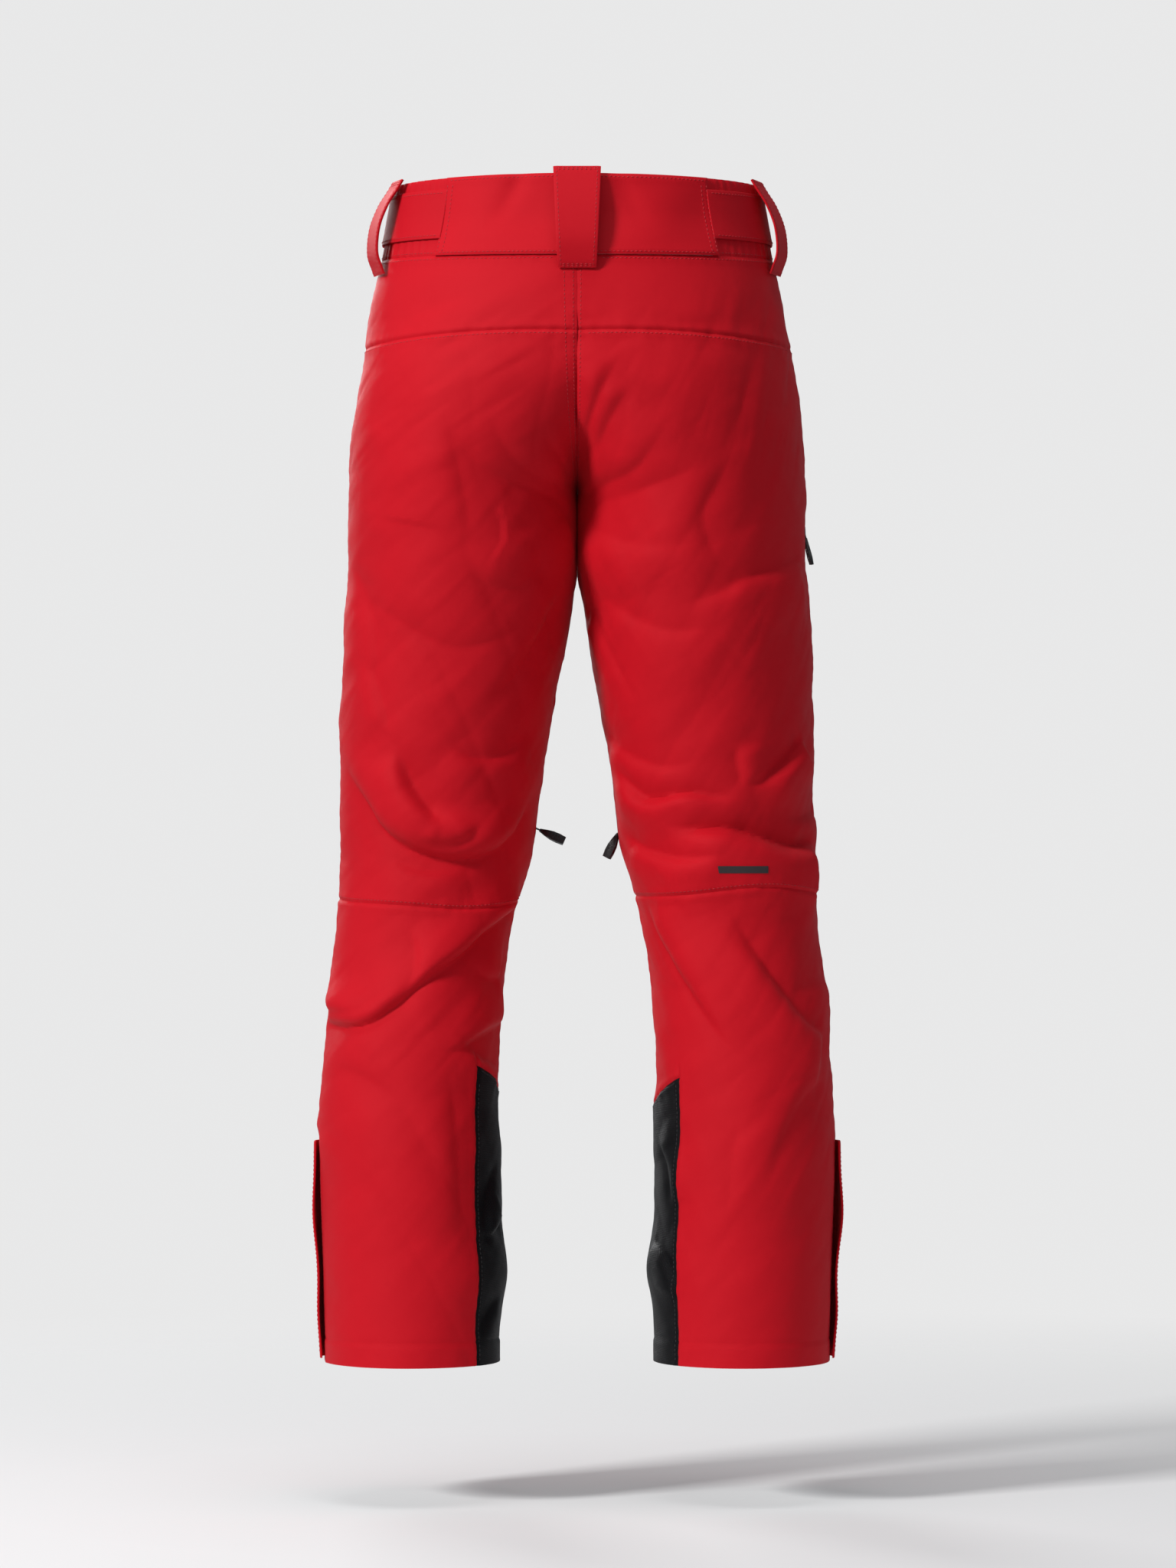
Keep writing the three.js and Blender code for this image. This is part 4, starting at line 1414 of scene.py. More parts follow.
@dataclass
class Waistband:
    """The waistband and its adjuster tabs."""

    kit: Kit
    back_edge: float = 45.6 * DEG
    front_edge: float = -58 * DEG
    raised: float = 2.4
    tab: tuple[float, float] = (1016, 1061)
    tab_split: float = -3 * DEG
    tab_tip: float = -50 * DEG

    def band_lift(self, side: Side) -> Field:
        """How the raised back panel lies.

        Args:
            side: Which half.

        Returns:
            The lift, read at angles and heights.
        """
        seed = 0.7 if side is Side.LEFT else 2.3

        def lift(angle: np.ndarray, height: np.ndarray) -> np.ndarray:
            """Reads the lift at each point.

            Args:
                angle: Angles round the leg.
                height: Heights above the hem.

            Returns:
                The lift off the skin at each point.
            """
            around = angle * 145
            up = (height - waist_seam(angle)) / 70
            wrinkle = 1.3 * np.sin(around * 0.075 + seed * 3 + 1.6 * up) * np.sin(np.pi * np.clip(up, 0, 1))
            pinch = -2.4 * bump(around - 26 * up, 150 + 8 * seed, 9) * smooth(up, 0.2, 0.9)
            edge = np.minimum(height - waist_seam(angle), waist_top(angle) - height)
            side_edge = (angle - self.back_edge) * 145
            near = np.minimum(edge, side_edge)
            return self.raised + wrinkle + pinch - 1.0 * np.exp(-near / 1.4) + 0.4 * bump(near, 4.5, 2.5)

        return lift

    def side_lift(self, side: Side) -> Field:
        """How the gathered elastic side lies.

        Args:
            side: Which half; not used.

        Returns:
            The lift, read at angles and heights.
        """

        def lift(angle: np.ndarray, height: np.ndarray) -> np.ndarray:
            """Reads the lift at each point.

            Args:
                angle: Angles round the leg.
                height: Heights above the hem.

            Returns:
                The lift off the skin at each point.
            """
            around = angle * 145
            up = (height - waist_seam(angle)) / 70
            gather = np.sin(around * 0.62 + 2.2 * np.sin(around * 0.055) + 0.5 * up)
            span = smooth(angle, -56 * DEG, -44 * DEG) * smooth(angle, 45 * DEG, 38 * DEG)
            edge = np.minimum(height - waist_seam(angle), waist_top(angle) - height)
            clear = 1 - 0.8 * bump(up, 0.55, 0.35)
            return 0.5 * gather * span * clear - 0.4 - 0.7 * np.exp(-edge / 1.5)

        return lift

    def front_lift(self, angle: np.ndarray, height: np.ndarray) -> np.ndarray:
        """How the flat front of the band lies."""
        edge = np.minimum(height - waist_seam(angle), waist_top(angle) - height)
        return -0.8 * np.exp(-edge / 1.5) + 0.35 * bump(edge, 4.5, 2.5) - 0.1

    def build(self) -> None:
        """Makes the band and the tabs."""
        kit, form = self.kit, self.kit.form
        levels = (waist_seam, waist_top)
        halves = []
        for side in Side:
            end: Line = lambda h: form.reach(h)
            rails = (upright(self.back_edge), end)
            halves.append(Patch(form, rails, levels, self.band_lift(side), 2.6).mesh(f"band_{side.word}", side))
        back = joined(halves, "waistband_back_cloth", 0.0004)
        thicken(back, SHELL + 1.6)
        kit.place(back, "pants", "shell_fabric", ["waistband_back"], kit.finish.shell, kit.finish.lining)
        for side in Side:
            word = side.word
            rails = (upright(self.front_edge + 0.001), upright(self.back_edge + 0.03))
            obj = Patch(form, rails, levels, self.side_lift(side), 1.7).mesh(f"waistband_side_cloth_{word}", side)
            thicken(obj, SHELL - 0.4)
            kit.place(obj, "pants", "shell_fabric", [f"waistband_side_{word}"], kit.finish.shell, kit.finish.lining)
            front: Line = lambda h: -form.reach(h) + 5.8 / form.radius(h)
            rails = (front, upright(self.front_edge - 0.001))
            obj = Patch(form, rails, levels, self.front_lift, 2.6).mesh(f"waistband_front_cloth_{word}", side)
            thicken(obj, SHELL - 0.2)
            kit.place(obj, "pants", "shell_fabric", [f"waistband_front_{word}"], kit.finish.shell, kit.finish.lining)
            self.tabs(side)
            self.stitch(side)

    def tab_lift(self, angle: np.ndarray, height: np.ndarray) -> np.ndarray:
        """How the adjuster strap lies: flat, with rolled edges."""
        edge = np.minimum(height - self.tab[0], self.tab[1] - height)
        return 0.6 + STRAP - 0.5 * np.exp(-edge / 1.2) + 0.18 * bump(edge, 4, 2)

    def tabs(self, side: Side) -> None:
        """Makes one side's adjuster strap and its peeling end.

        Args:
            side: Which half.
        """
        kit, word = self.kit, side.word
        low, high = self.tab

        def narrowed(sign: int, base: float) -> Line:
            """An edge of the strap, drawn in towards its end.

            Args:
                sign: Which edge, 1 or -1.
                base: The edge's height.

            Returns:
                The edge, read at angles.
            """
            def line(angle: np.ndarray) -> np.ndarray:
                """Reads the line at each angle."""
                share = np.clip((angle - self.tab_tip) / (9 * DEG), 0, 1)
                return base - sign * 15 * (1 - np.sqrt(1 - (1 - share) ** 2))

            return line

        rails = (upright(self.tab_split + 0.004), upright(self.back_edge + 0.02))
        strap = Patch(kit.form, rails, (level(low), level(high)), self.tab_lift, 2.6)
        obj = thicken(strap.mesh(f"waist_tab_cloth_{word}", side), STRAP - 0.1, True)
        kit.place(obj, "pants", "shell_fabric", [f"waist_tab_{word}"], kit.finish.trim, kit.finish.trim)
        rails = (upright(self.tab_tip), upright(self.tab_split))
        levels = (narrowed(-1, low), narrowed(1, high))
        cut = Patch(kit.form, rails, levels, self.tab_lift, 2.6)
        obj = thicken(cut.mesh(f"tab_end_cloth_{word}", side), STRAP - 0.1)
        kit.place(
            obj, f"waist_tab_end_{word}", "shell_fabric", [f"waist_tab_end_{word}"], kit.finish.trim, kit.finish.lining
        )
        t = np.linspace(0, 1, 60)
        angle = self.tab_split - 0.02 + t * (self.tab_tip + 0.14 - self.tab_split)
        for height in (low + 3.2, high - 3.2):
            kit.needle.sew(*on_skin(kit.form, side, self.tab_lift, angle, np.full_like(angle, height)))
        obj = kit.needle.finish(f"tab_end_topstitch_{word}", kit.finish.thread)
        kit.place(obj, f"waist_tab_end_{word}", "shell_fabric", [])

    def stitch(self, side: Side) -> None:
        """Sews the rows of the band and the fixed strap on one side.

        Args:
            side: Which half.
        """
        kit, t = self.kit, np.linspace(0, 1, 160)

        def row(lift: Field, angle: np.ndarray, height: np.ndarray) -> None:
            """Sews one row along a line."""
            kit.needle.sew(*on_skin(kit.form, side, lift, angle, height))

        band = self.band_lift(side)
        angle = self.back_edge + 0.03 + t * (kit.form.reach(1036.0) - self.back_edge - 0.03)
        row(band, angle, waist_seam(angle) + 2.6)
        row(band, angle, waist_top(angle) - 3)
        height = 1003 + t * 64
        for off in (0.018, 0.055):
            row(band, np.full_like(height, self.back_edge + off), height)
        angle = self.front_edge + t * (self.back_edge - self.front_edge)
        row(self.side_lift(side), angle, waist_seam(angle) + 2.6)
        angle = self.tab_split + 0.03 + t * (self.back_edge - self.tab_split - 0.04)
        for height in (self.tab[0] + 3.2, self.tab[1] - 3.2):
            row(self.tab_lift, angle, np.full_like(angle, height))
        angle = self.front_edge - 0.02 - t * 0.5
        row(self.front_lift, angle, waist_seam(angle) + 3)
        row(self.front_lift, angle, waist_top(angle) - 3)
        obj = kit.needle.finish(f"band_topstitch_{side.word}", kit.finish.thread)
        kit.place(obj, "pants", "shell_fabric", [])


@dataclass
class BeltLoop:
    """A strap that bows off the waistband between its sewn ends."""

    kit: Kit
    name: str
    side: Side
    angle: float
    facing: float
    width: float
    foot_width: float
    profile: tuple[tuple[float, float], ...]

    def centre_line(self) -> tuple[np.ndarray, np.ndarray, np.ndarray]:
        """The strap's outer face line, the way out and the way across.

        Returns:
            The line, the ways out and the ways across.
        """
        form = self.kit.form
        outward = np.array([math.cos(self.facing), math.sin(self.facing), 0])
        knots = np.array(self.profile, float)
        angle = np.full(len(knots), self.angle)
        skin = form.skin(angle, knots[:, 0], knots[:, 1])
        base = form.skin(np.array([self.angle]), np.array([BELT]), np.array([0.0]))[0]
        if self.name == "back_loop":
            base[0] = 0
        out = (skin - base) @ outward
        padded = np.vstack([[2 * out[0] - out[1], 2 * knots[0, 0] - knots[1, 0]], np.column_stack([out, knots[:, 0]])])
        padded = np.vstack([padded, 2 * padded[-1] - padded[-2]])
        line = []
        for a, b, c, d in zip(padded, padded[1:], padded[2:], padded[3:]):
            for t in np.linspace(0, 1, 9)[:-1]:
                cubic = (2 * a - 5 * b + 4 * c - d) * t**2 + (3 * b - a - 3 * c + d) * t**3
                line.append(0.5 * (2 * b + (c - a) * t + cubic))
        line = np.array([*line, padded[-2]])
        tangent = np.gradient(line, axis=0)
        tangent /= np.linalg.norm(tangent, axis=1, keepdims=True)
        outer = line + np.column_stack([-tangent[:, 1], tangent[:, 0]]) * (STRAP - 0.1)
        up = np.array([0, 0, 1.0])
        across = np.cross(outward, up)
        foot = np.array([base[0], base[1], 0])
        points = foot + outer[:, :1] * outward + outer[:, 1:] * up
        return points, outward, across

    def build(self) -> None:
        """Makes the strap and its edge stitching."""
        kit = self.kit
        points, outward, across = self.centre_line()
        run = np.concatenate([[0], np.cumsum(np.linalg.norm(np.diff(points, axis=0), axis=1))])
        share = (points[:, 2] - points[-1, 2]) / (points[0, 2] - points[-1, 2])
        half = (self.foot_width + (self.width - self.foot_width) * share) / 2
        columns = np.concatenate([[-1, -0.965, -0.91], np.linspace(-0.82, 0.82, 11), [0.91, 0.965, 1]])
        crown = -0.55 * np.exp(-(1 - np.abs(columns)) * 22) + 0.12 * bump(np.abs(columns), 0.84, 0.05)
        tangent = np.gradient(points, axis=0)
        tangent /= np.linalg.norm(tangent, axis=1, keepdims=True)
        out = np.cross(across, tangent)
        out *= np.sign(out @ outward)[:, None]
        grid = points[:, None] + (half[:, None] * columns)[..., None] * across + crown[None, :, None] * out[:, None]
        n, m = len(points), len(columns)
        index = np.arange(n * m).reshape(n, m)
        faces = np.stack([index[:-1, :-1], index[:-1, 1:], index[1:, 1:], index[1:, :-1]], -1).reshape(-1, 4)
        a, b, c = grid[0, 0], grid[0, 1], grid[1, 1]
        if np.cross(b - a, c - b) @ out[0] < 0:
            faces = faces[:, ::-1]
        flat = np.stack(np.broadcast_arrays((half[:, None] * columns), run[:, None]), -1).reshape(-1, 2)
        obj = cloth_object(f"{self.name}_cloth", grid.reshape(-1, 3), faces, flat, self.side)
        thicken(obj, STRAP - 0.15)
        kit.place(obj, "pants", "shell_fabric", [self.name], kit.finish.trim, kit.finish.trim)
        mirror = np.array([self.side.value, 1, 1])
        for sign in (-1, 1):
            row = (points + sign * (half - 3.0)[:, None] * across + 0.1 * out) * mirror
            kit.needle.sew(row, out * mirror)
        for at in (2, 4, len(points) - 5, len(points) - 3):
            width = np.linspace(-1, 1, 20)[:, None] * (half[at] - 3.4)
            row = (points[at] + width * across + 0.1 * out[at]) * mirror
            kit.needle.sew(row, np.repeat(out[at][None], 20, 0) * mirror)
        obj = kit.needle.finish(f"{self.name}_topstitch", kit.finish.thread)
        kit.place(obj, "pants", "shell_fabric", [])


SIDE_LOOP = ((1073, 1.4), (1064, 5.2), (1050, 11.5), (1030, 15.4), (1008, 12.6), (994, 5.2), (988, 1.6))
FRONT_LOOP = ((1054, 1.8), (1047, 6.2), (1032, 11), (1008, 10.4), (991, 5), (985, 1.6))
BACK_LOOP = ((1078, 3.4), (1069, 7), (1042, 13.4), (1014, 12.8), (995, 6.4), (987, 1.6))


def belt_loops(kit: Kit) -> list[BeltLoop]:
    """The five belt loops.

    Args:
        kit: What they are made with.

    Returns:
        The loops, not built yet.
    """
    loops = []
    for side in Side:
        loops.append(BeltLoop(kit, f"side_loop_{side.word}", side, 14 * DEG, 15 * DEG, 40, 38, SIDE_LOOP))
        loops.append(BeltLoop(kit, f"front_loop_{side.word}", side, -72 * DEG, -77 * DEG, 32, 32, FRONT_LOOP))
    loops.append(BeltLoop(kit, "back_loop", Side.LEFT, 90 * DEG, 90 * DEG, 43, 35, BACK_LOOP))
    return loops


# ---- Zips ----


# The puller's grip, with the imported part's own sizes: where it starts beyond the pin, its length, and the thickness of
# the block that it is shaped from.
GRIP_START = 6.2
GRIP_LENGTH = 25.0
GRIP_BLANK = 2.5


@dataclass
class Zip:
    """One zip: its tape and coil, its slider, and the moulded puller on its pin."""

    kit: Kit
    name: str
    side: str
    hang: int
    tilt: float
    length: float
    grip_thickness: float = 2.6
    grip_turn: float = 0.0
    tape_width: float = 20.0

    def node(self, piece: str) -> str:
        """The node's name for one of the zip's pieces."""
        return f"{self.name}_{piece}{self.side}"

    def frame(self) -> Matrix:
        """The zip's own frame: X across, Y out of the cloth and Z along the track, in metres.

        Returns:
            The frame, as a matrix.
        """
        slide = self.kit.joints[self.node("slide")]
        swing = self.kit.joints[self.node("puller_swing")]
        along, pin = Vector(slide["axis"]).normalized(), Vector(swing["pos_m"])
        across = Vector(swing["axis"]).normalized()
        out = along.cross(across)
        middle = Vector((math.copysign(0.11, pin.x) if abs(pin.x) > 0.02 else 0, 0, pin.z))
        if self.name == "vent":
            out = out if out.x * pin.x < 0 else -out
        elif out.dot(pin - middle) < 0:
            out = -out
        across = out.cross(along)
        start = pin - out * 0.0035
        return Matrix.Translation(start) @ Matrix((across, out, along)).transposed().to_4x4()

    def build(self) -> None:
        """Makes the zip's three pieces."""
        place = self.frame()
        kit = self.kit
        tape = self.make_tape()
        tape.data.transform(place)
        kit.place(tape, "pants", "zip_tape", [self.node("zip")])
        slider = self.make_slider()
        slider.data.transform(place)
        kit.place(slider, self.node("slider"), "dark_metal", [self.node("slider")], kit.finish.metal)
        puller = self.make_puller()
        puller.data.transform(place)
        kit.place(puller, self.node("puller"), "moulded_black", [self.node("puller")], kit.finish.plastic)

    def make_tape(self) -> bpy.types.Object:
        """The woven tape with its coil and end stops.

        Returns:
            The finished tape.
        """
        length, half = self.length, self.tape_width / 2
        z = np.linspace(-12, length + 12, max(8, int((length + 24) / 4)))
        x = np.array([-half, -half + 1.2, -half + 2.4, -3.4, -2.4, 0, 2.4, 3.4, half - 2.4, half - 1.2, half])
        y = np.array([0, 0.25, 0, 0, 0.18, 0.1, 0.18, 0, 0, 0.25, 0]) - 0.2
        grid = np.stack(np.broadcast_arrays(x[None], y[None], z[:, None]), -1)
        index = np.arange(len(z) * len(x)).reshape(len(z), len(x))
        faces = np.stack([index[:-1, :-1], index[1:, :-1], index[1:, 1:], index[:-1, 1:]], -1).reshape(-1, 4)
        flat = grid[..., (0, 2)].reshape(-1, 2)
        tape = cloth_object("tape", grid.reshape(-1, 3) + (0, 0, BELT), faces, flat, Side.LEFT)
        thicken(tape, 0.6)
        dress(tape, self.kit.finish.tape, self.kit.finish.tape)
        coil = self.coil()
        stops = [self.block("stop", (5.4, 1.5, 2.2), (0, 1.0, at), 0.35) for at in (-8, length + 8)]
        for stop in stops:
            dress(stop, self.kit.finish.metal)
        return joined([tape, coil, *stops], f"{self.name}_zip_track{self.side}")

    def coil(self) -> bpy.types.Object:
        """The coil's interlocked links, one modelled and the rest copied along the track.

        Returns:
            The finished coil.
        """
        bpy.ops.object.select_all(action="DESELECT")
        bpy.ops.mesh.primitive_torus_add(
            major_segments=10, minor_segments=5, major_radius=0.00125, minor_radius=0.00042,
            location=(0.0009, 0.00055, 0), rotation=(math.radians(12), 0, 0),
        )
        link = bpy.context.object
        bpy.ops.object.transform_apply()
        link.data.transform(Matrix.Diagonal((1.0, 0.62, 1.0, 1.0)))
        count = int((self.length + 14) / 1.9)
        base = np.array([v.co for v in link.data.vertices])
        faces = np.array([list(p.vertices) for p in link.data.polygons])
        bpy.data.objects.remove(link)
        points, quads = [], []
        for k in range(count):
            shape = base.copy()
            if k % 2:
                shape[:, 0] *= -1
            shape[:, 2] += -0.007 + 0.0019 * k
            points.append(shape)
            quads.append((faces if k % 2 == 0 else faces[:, ::-1]) + k * len(base))
        mesh = bpy.data.meshes.new("coil")
        mesh.from_pydata(np.vstack(points).tolist(), [], np.vstack(quads).tolist())
        mesh.polygons.foreach_set("use_smooth", [True] * len(mesh.polygons))
        obj = bpy.data.objects.new("coil", mesh)
        bpy.context.scene.collection.objects.link(obj)
        dress(obj, self.kit.finish.plastic)
        return obj

    @staticmethod
    def block(
        name: str, size: tuple[float, float, float], at: tuple[float, float, float], round_by: float
    ) -> bpy.types.Object:
        """A moulded block with rounded edges.

        Args:
            name: The object's name.
            size: Its size in millimetres.
            at: Its middle in millimetres.
            round_by: The rounding in millimetres.

        Returns:
            The new object.
        """
        bpy.ops.object.select_all(action="DESELECT")
        bpy.ops.mesh.primitive_cube_add(size=0.001, location=[0.001 * v for v in at])
        obj = bpy.context.object
        obj.name = name
        obj.scale = size
        bpy.ops.object.transform_apply()
        bpy.ops.object.mode_set(mode="EDIT")
        bpy.ops.mesh.select_all(action="SELECT")
        bpy.ops.mesh.bevel(offset=round_by * 0.001, segments=3, affect="EDGES")
        bpy.ops.object.mode_set(mode="OBJECT")
        only(obj)
        bpy.ops.object.shade_smooth_by_angle(angle=0.6)
        return obj

    def make_slider(self) -> bpy.types.Object:
        """The slider's crown, cheeks and arch.

        Returns:
            The finished slider.
        """
        crown = self.block("crown", (8, 1.0, 11), (0, 2.2, 0), 0.42)
        work = bmesh.new()
        work.from_mesh(crown.data)
        for v in work.verts:
            if v.co.z > 0.002:
                v.co.x *= 1 - 26 * (v.co.z - 0.002)
        work.to_mesh(crown.data)
        work.free()
        cheeks = [self.block("cheek", (1.0, 2.2, 8.6), (s * 3.3, 1.5, -0.6), 0.35) for s in (-1, 1)]
        posts = [self.block("post", (1.9, 2.7, 1.5), (0, 3.85, s * 4), 0.4) for s in (-1, 1)]
        bar = self.block("bar", (1.9, 0.8, 9.4), (0, 4.85, 0), 0.35)
        return joined([crown, *cheeks, *posts, bar], f"{self.name}_slider_body{self.side}")

    def make_puller(self) -> bpy.types.Object:
        """The moulded puller: a pin and two arms in a ring, and a grip that widens and is ribbed.

        Returns:
            The finished puller.
        """
        arms = [self.block("arm", (1.0, 1.25, 7.6), (s * 2.2, 0, 3.3), 0.3) for s in (-1, 1)]
        bpy.ops.object.select_all(action="DESELECT")
        bpy.ops.mesh.primitive_cylinder_add(
            vertices=16, radius=0.0006, depth=0.0052, rotation=(0, math.pi / 2, 0)
        )
        pin = bpy.context.object
        bpy.ops.object.transform_apply()
        grip = self.block("grip", (5.0, GRIP_BLANK, GRIP_LENGTH), (0, 0, 18.6), 0.1)
        bpy.ops.object.mode_set(mode="EDIT")
        bpy.ops.mesh.select_all(action="SELECT")
        bpy.ops.mesh.subdivide(number_cuts=3)
        bpy.ops.object.mode_set(mode="OBJECT")
        bulk = self.grip_thickness / GRIP_BLANK
        for v in grip.data.vertices:
            share = (v.co.z * 1000 - GRIP_START) / GRIP_LENGTH
            taper = max(0.0, share - 0.86)
            v.co.x *= 0.9 + 0.76 * float(smooth(np.array(share), 0.05, 0.6)) - 1.4 * taper
            v.co.y *= 1 + (bulk - 1) * float(smooth(np.array(share), 0.1, 0.7)) - 1.8 * taper
            if abs(v.co.x) < 0.0022 and 0.25 < share < 0.85:
                v.co.y *= 0.76
        depth = 2.36 * (1 + 0.75 * (bulk - 1))
        ribs = [self.block("rib", (4.2, depth, 0.9), (0, 0, at), 0.3) for at in (17, 19.6, 22.2, 24.8)]
        modify(grip, "BEVEL", width=0.0004, segments=3, limit_method="ANGLE", angle_limit=0.5)
        grip = joined([grip, *ribs], "grip")
        for v in grip.data.vertices:
            turn = self.grip_turn * DEG * float(smooth(np.array(v.co.z), 0.006, 0.014))
            v.co.xy = Matrix.Rotation(turn, 2) @ v.co.xy
        obj = joined([grip, *arms, pin], f"{self.name}_puller_grip{self.side}")
        if self.hang < 0:
            obj.data.transform(Matrix.Rotation(math.pi, 4, "Y"))
        obj.data.transform(Matrix.Rotation(-self.hang * self.tilt * DEG, 4, "X"))
        obj.data.transform(Matrix.Translation((0, 0.0035, 0)))
        only(obj)
        bpy.ops.object.shade_smooth_by_angle(angle=0.6)
        return obj


def zips(kit: Kit) -> list[Zip]:
    """All the zips of the pants.

    Args:
        kit: What they are made with.

    Returns:
        The zips, not built yet.
    """
    return [
        Zip(kit, "vent", "_left", -1, 74, 210, 4.6, 68),
        Zip(kit, "vent", "_right", -1, 34, 210, 4.6, -62),
        Zip(kit, "ankle", "_left", -1, 0, 138, 2.5),
        Zip(kit, "ankle", "_right", -1, 0, 138, 2.5),
        Zip(kit, "hand_pocket", "_left", 1, 18, 127),
        Zip(kit, "hand_pocket", "_right", 1, 18, 127),
        Zip(kit, "cargo", "", 1, 12, 151),
        Zip(kit, "fly", "", 1, 0, 136, 2.5),
    ]


# ---- Fly, pockets and ankles ----


@dataclass
class Fly:
    """The flap over the fly zip, with its snap."""

    kit: Kit
    hinge_x: float = 30
    free_x: float = -24
    bottom: float = 874
    lift: float = 3.0
    foot: float = 0.8
    snap_x: float = -15
    snap_height: float = 1034

    def front(self, x: np.ndarray, height: np.ndarray, lift: np.ndarray) -> np.ndarray:
        """Points on the front at a signed X.

        Args:
            x: Places across, in millimetres.
            height: Heights above the hem.
            lift: How far off the skin.

        Returns:
            The points, in millimetres.
        """
        middle_x, half_width, _, _ = self.kit.form.section(height)
        angle = -np.arccos(np.clip((np.abs(x) - middle_x) / half_width, -1, 1))
        points = self.kit.form.skin(angle, height, lift)
        return np.stack([x, points[..., 1], height], -1)

    def surface(self, share: np.ndarray, up: np.ndarray, extra: float = 0.0) -> np.ndarray:
        """The flap's outer face, from its sewn edge to its free edge and from its foot up.

        Args:
            share: From the sewn edge, 0, to the free edge, 1.
            up: From the foot, 0, to the top, 1.
            extra: More lift, in millimetres.

        Returns:
            The points, in millimetres.
        """
        x = self.hinge_x + (self.free_x - self.hinge_x) * share
        low = self.bottom + 14 * share**3
        height = low + (waist_top(-math.pi / 2) - low) * up
        rise = self.foot + (self.lift - self.foot) * smooth(share, 0, 0.3)
        edge = np.minimum((1 - share) * 54, (1 - up) * 180)
        soft = 0.25 * np.sin(up * 17 + 3 * share) * smooth(share, 0.1, 0.6) - 0.5 * np.exp(-edge / 1.4)
        return self.front(x, height, rise + STRAP + soft + extra)

    def build(self) -> None:
        """Makes the flap, its stitches and both halves of the snap."""
        kit = self.kit
        share, up = np.meshgrid(spaced(54, 2.6, True), spaced(180, 3.0, True), indexing="ij")
        points = self.surface(share, up)
        n, m = share.shape
        index = np.arange(n * m).reshape(n, m)
        faces = np.stack([index[:-1, :-1], index[:-1, 1:], index[1:, 1:], index[1:, :-1]], -1).reshape(-1, 4)
        a, b, c = points[0, 0], points[0, 1], points[1, 1]
        if np.cross(b - a, c - b)[1] > 0:
            faces = faces[:, ::-1]
        flat = points[..., (0, 2)].reshape(-1, 2)
        obj = thicken(cloth_object("fly_flap_cloth", points.reshape(-1, 3), faces, flat, Side.LEFT), STRAP - 0.1)
        kit.place(obj, "fly_flap", "shell_fabric", ["fly_flap"], kit.finish.shell, kit.finish.lining)
        t = np.linspace(0.03, 0.97, 90)
        for at in (0.1, 0.86, 0.94):
            line = self.surface(np.full_like(t, at), t, 0.1)
            kit.needle.sew(line, np.tile((0.0, -1.0, 0.0), (len(line), 1)))
        t = np.linspace(0.06, 0.94, 30)
        for up in (0.02, 0.6, 0.97):
            line = self.surface(t, np.full_like(t, up), 0.1)
            kit.needle.sew(line, np.tile((0.0, -1.0, 0.0), (len(line), 1)))
        kit.place(kit.needle.finish("fly_flap_topstitch", kit.finish.thread), "fly_flap", "shell_fabric", [])
        at = self.front(np.array(self.snap_x), np.array(self.snap_height), np.array(0.0))
        cap = self.disc("snap_cap_dome", 7.4, at, self.lift + STRAP + 0.8, 1.7, True)
        kit.place(cap, "fly_flap", "dark_metal", ["snap_cap"], kit.finish.metal)
        stud = self.disc("snap_stud_ring", 5.0, at, 0.5, 1.4, False)
        kit.place(stud, "pants", "dark_metal", ["snap_stud"], kit.finish.metal)

    @staticmethod
    def disc(name: str, radius: float, at: np.ndarray, lift: float, thick: float, domed: bool) -> bpy.types.Object:
        """A turned snap half that faces the front.

        Args:
            name: The object's name.
            radius: Its radius in millimetres.
            at: The place on the cloth in millimetres.
            lift: The gap under it.
            thick: Its thickness.
            domed: Whether it has a rolled rim and a dished middle, or a stud.

        Returns:
            The new object.
        """
        bpy.ops.object.select_all(action="DESELECT")
        middle = (0.001 * at[0], 0.001 * (at[1] - lift - thick / 2), 0.001 * (at[2] - BELT))
        bpy.ops.mesh.primitive_cylinder_add(
            vertices=48, radius=radius * 0.001, depth=thick * 0.001, location=middle, rotation=(math.pi / 2, 0, 0)
        )
        obj = bpy.context.object
        obj.name = name
        bpy.ops.object.transform_apply()
        bpy.ops.object.mode_set(mode="EDIT")
        bpy.ops.mesh.select_all(action="DESELECT")
        bpy.ops.object.mode_set(mode="OBJECT")
        for face in obj.data.polygons:
            face.select = face.normal.y < -0.9
        bpy.ops.object.mode_set(mode="EDIT")
        bpy.ops.mesh.inset(thickness=radius * 0.00022)
        bpy.ops.transform.translate(value=(0, (0.0005 if domed else -0.0004), 0))
        bpy.ops.mesh.inset(thickness=radius * 0.0003)
        bpy.ops.transform.translate(value=(0, (-0.0004 if domed else 0.0003), 0))
        bpy.ops.object.mode_set(mode="OBJECT")
        modify(obj, "BEVEL", width=0.0002, segments=3, limit_method="ANGLE", angle_limit=0.5)
        only(obj)
        bpy.ops.object.shade_smooth_by_angle(angle=0.7)
        return obj


